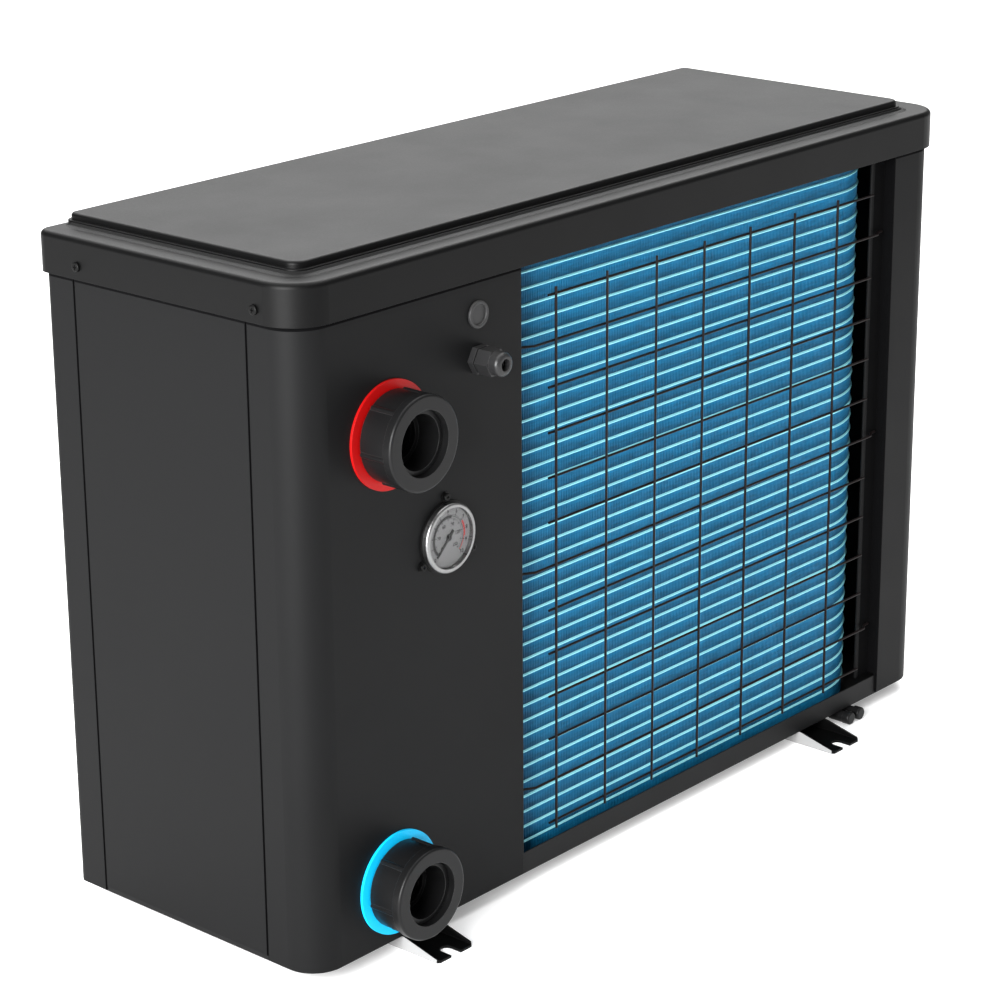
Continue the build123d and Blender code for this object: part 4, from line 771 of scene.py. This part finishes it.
# %% [markdown]
# ## Print on the gauge
# A pressure gauge of this size has a printed scale over 270 degrees, a broad band for the working range and
# a red one for too high. The print is thin plates laid on the dial, so that it keeps its edge in any view.
# Angles run clockwise from the top, as the face is read.

# %% Bands and ticks on the dial
DIAL_LOW, DIAL_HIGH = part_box("gauge_dial")
DIAL_X, DIAL_Z = (DIAL_LOW.x + DIAL_HIGH.x) / 2, (DIAL_LOW.z + DIAL_HIGH.z) / 2
DIAL_R = (DIAL_HIGH.x - DIAL_LOW.x) / 2
PRINT_T = 0.06 * MM
SCALE_START, SCALE_SWEEP = -135.0, 270.0


def dial_point(radius, degrees, lift=PRINT_T):
    angle = math.radians(degrees)
    return (DIAL_X + radius * math.sin(angle), DIAL_LOW.y - lift, DIAL_Z + radius * math.cos(angle))


def band(corners, faces, r_in, r_out, start, end, step=4.0):
    """Adds a flat ring sector: a row of closed boxes that share corners."""
    steps = max(1, math.ceil((end - start) / step))
    first = len(corners)
    for index in range(steps + 1):
        degrees = start + (end - start) * index / steps
        for radius, lift in ((r_in, 0.0), (r_out, 0.0), (r_out, PRINT_T), (r_in, PRINT_T)):
            corners.append(dial_point(radius, degrees, lift))
    for index in range(steps):
        here = first + 4 * index
        for side in range(4):
            after = (side + 1) % 4
            faces.append((here + side, here + 4 + side, here + 4 + after, here + after))
    faces.append((first + 3, first + 2, first + 1, first))
    last = first + 4 * steps
    faces.append((last, last + 1, last + 2, last + 3))


def dial_marks(name, bands, finish, slot):
    corners, faces = [], []
    for r_in, r_out, start, end in bands:
        band(corners, faces, DIAL_R * r_in, DIAL_R * r_out, start, end)
    return piece(name, corners, faces, finish, slot, "root")


MAJOR, MINOR_PER_MAJOR = 10, 5
SCALE_END = SCALE_START + SCALE_SWEEP
WORKING_END, LIMIT_START, LIMIT_END = 14.0, 58.0, 100.0  # degrees from the top
BROAD_BAND, FINE_BAND = (0.63, 0.72), (0.68, 0.70)  # inner and outer radius, as shares of the dial's
MAJOR_TICK_HALF, MINOR_TICK_HALF = 1.5, 0.8  # degrees
black_bands = [(*BROAD_BAND, SCALE_START, WORKING_END), (*FINE_BAND, WORKING_END, SCALE_END)]
for tick in range(MAJOR * MINOR_PER_MAJOR + 1):
    centre = SCALE_START + SCALE_SWEEP * tick / (MAJOR * MINOR_PER_MAJOR)
    major = tick % MINOR_PER_MAJOR == 0
    half = MAJOR_TICK_HALF if major else MINOR_TICK_HALF
    black_bands.append((0.72, 0.78 if major else 0.75, centre - half, centre + half))
    black_bands.append((0.56 if major else 0.60, 0.64, centre - half, centre + half))
dial_marks("dial_black_print", black_bands, PRINT_BLACK, "needle_black")
red_bands = [(0.72, 0.79, LIMIT_START, LIMIT_END), (0.72, 0.75, LIMIT_END, SCALE_END)]
dial_marks("dial_red_print", red_bands, PRINT_RED, "ring_red")
print(len(black_bands), "black marks and", len(red_bands), "red marks")

# %% [markdown]
# The numbers are text objects, turned into meshes so that every tool reads them alike.

# %% Numbers on the dial
BOLDER = 0.16 * MM
OUTER_NUMBER_H, INNER_NUMBER_H = 5.0 * MM, 4.4 * MM
OUTER_NUMBER_R, INNER_NUMBER_R = DIAL_R * 0.87, DIAL_R * 0.44
INNER_STEP = 15


def dial_number(text, degrees, radius, height):
    curve = bpy.data.curves.new(f"number_{text}", "FONT")
    curve.body, curve.size, curve.extrude = text, height, PRINT_T / 2
    curve.offset = BOLDER
    curve.align_x, curve.align_y = "CENTER", "CENTER"
    made = bpy.data.objects.new(f"number_{text}", curve)
    bpy.context.scene.collection.objects.link(made)
    bpy.context.view_layer.update()
    mesh = bpy.data.meshes.new_from_object(made.evaluated_get(bpy.context.evaluated_depsgraph_get()))
    bpy.data.objects.remove(made)
    place = Matrix.Translation(dial_point(radius, degrees, PRINT_T / 2))
    mesh.transform(place @ Matrix.Rotation(math.radians(90), 4, "X"))
    return mesh


def join_meshes(name, meshes, finish, slot, body):
    corners, faces = [], []
    for mesh in meshes:
        start = len(corners)
        corners.extend(tuple(v.co) for v in mesh.vertices)
        add_faces(faces, [tuple(p.vertices) for p in mesh.polygons], start)
    return piece(name, corners, faces, finish, slot, body)


numbers = []
for value in range(MAJOR + 1):
    degrees = SCALE_START + SCALE_SWEEP * value / MAJOR
    numbers.append(dial_number(str(value), degrees, OUTER_NUMBER_R, OUTER_NUMBER_H))
    if value % 2 == 0:
        numbers.append(dial_number(str(value * INNER_STEP), degrees, INNER_NUMBER_R, INNER_NUMBER_H))
join_meshes("dial_numbers", numbers, PRINT_BLACK, "needle_black", "root")
print(len(numbers), "numbers in two rings")

# %% [markdown]
# ## Keypad
# The front panel's keypad has a smoked window over its display and a raised mark on each key: a power ring,
# an up arrow and a down arrow. The window is a bevelled plate that fills the case's recess.

# %% Display window and key marks
CASE_LOW, CASE_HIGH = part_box("controller_case")
CASE_X, CASE_Z = (CASE_LOW.x + CASE_HIGH.x) / 2, (CASE_LOW.z + CASE_HIGH.z) / 2
WINDOW_HALF = (45.5 * MM, 19.5 * MM)
WINDOW_MIDDLE_Z = CASE_Z + 14 * MM
WINDOW_CORNER, WINDOW_CHAMFER = 1.5 * MM, 0.3 * MM
WINDOW_BACK_Y, WINDOW_FRONT_Y = CASE_HIGH.y - 1.5 * MM, CASE_HIGH.y - 0.2 * MM
MARK_SINK, MARK_LIFT = 0.02 * MM, 0.25 * MM
SMOKED = coated(
    "smoked_window", (0.006, 0.007, 0.008), 0.08, grain=4.0, depth=0.001, edge=0.5, dust=0.02, coat=0.6
)


def rounded_plate(half_w, half_h, radius, y_back, y_front, chamfer, x, z):
    """A plate with round corners and a chamfered front edge."""
    corners, faces, steps = [], [], 6
    for y, inset in ((y_back, 0.0), (y_front - chamfer, 0.0), (y_front, chamfer)):
        for quarter, (sx, sz) in enumerate(((1, 1), (-1, 1), (-1, -1), (1, -1))):
            for step in range(steps + 1):
                angle = math.radians(90 * quarter + 90 * step / steps)
                px = sx * (half_w - radius) + (radius - inset) * math.cos(angle)
                pz = sz * (half_h - radius) + (radius - inset) * math.sin(angle)
                corners.append((x + px, y, z + pz))
    ring = 4 * (steps + 1)
    for layer in range(2):
        for index in range(ring):
            here, after = layer * ring + index, layer * ring + (index + 1) % ring
            faces.append((here, here + ring, after + ring, after))
    faces.append(tuple(range(ring)))
    faces.append(tuple(range(3 * ring - 1, 2 * ring - 1, -1)))
    return corners, faces


plate = rounded_plate(
    *WINDOW_HALF, WINDOW_CORNER, WINDOW_BACK_Y, WINDOW_FRONT_Y, WINDOW_CHAMFER, CASE_X, WINDOW_MIDDLE_Z
)
piece("display_window", *plate, SMOKED, "keypad_plastic", "root")


def key_mark(name, outline_sets, node, body):
    """Raised marks on a key's face. Each outline is a convex polygon in mm about the key's centre."""
    low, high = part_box(node)
    centre_x, centre_z = (low.x + high.x) / 2, (low.z + high.z) / 2
    corners, faces = [], []
    for outline in outline_sets:
        start, size = len(corners), len(outline)
        for y in (high.y - MARK_SINK, high.y + MARK_LIFT):
            corners.extend((centre_x + u * MM, y, centre_z + v * MM) for u, v in outline)
        faces.append(tuple(range(start, start + size)))
        faces.append(tuple(range(start + 2 * size - 1, start + size - 1, -1)))
        for index in range(size):
            after = (index + 1) % size
            faces.append((start + after, start + index, start + size + index, start + size + after))
    return piece(name, corners, faces, DIAL_WHITE, "dial_face", body)


def ring_pieces(r_in, r_out, start, end, count):
    """Quads that together make a ring sector."""
    quads = []
    for index in range(count):
        a0, a1 = (math.radians(start + (end - start) * (index + k) / count) for k in (0, 1))
        quad = ((r_in, a0), (r_out, a0), (r_out, a1), (r_in, a1))
        quads.append([(r * math.sin(a), r * math.cos(a)) for r, a in quad])
    return quads


power_bar = [(-0.4, 0.8), (-0.4, 4.2), (0.4, 4.2), (0.4, 0.8)]
power_ring = ring_pieces(2.8, 3.6, 35.0, 325.0, 24)
key_mark("power_mark", power_ring + [power_bar], "button_power", "power_key")
key_mark("up_mark", [[(-3.2, -2.0), (0.0, 3.2), (3.2, -2.0)]], "button_up", "up_key")
key_mark("down_mark", [[(-3.2, 2.0), (3.2, 2.0), (0.0, -3.2)]], "button_down", "down_key")
print("a display window and three key marks")
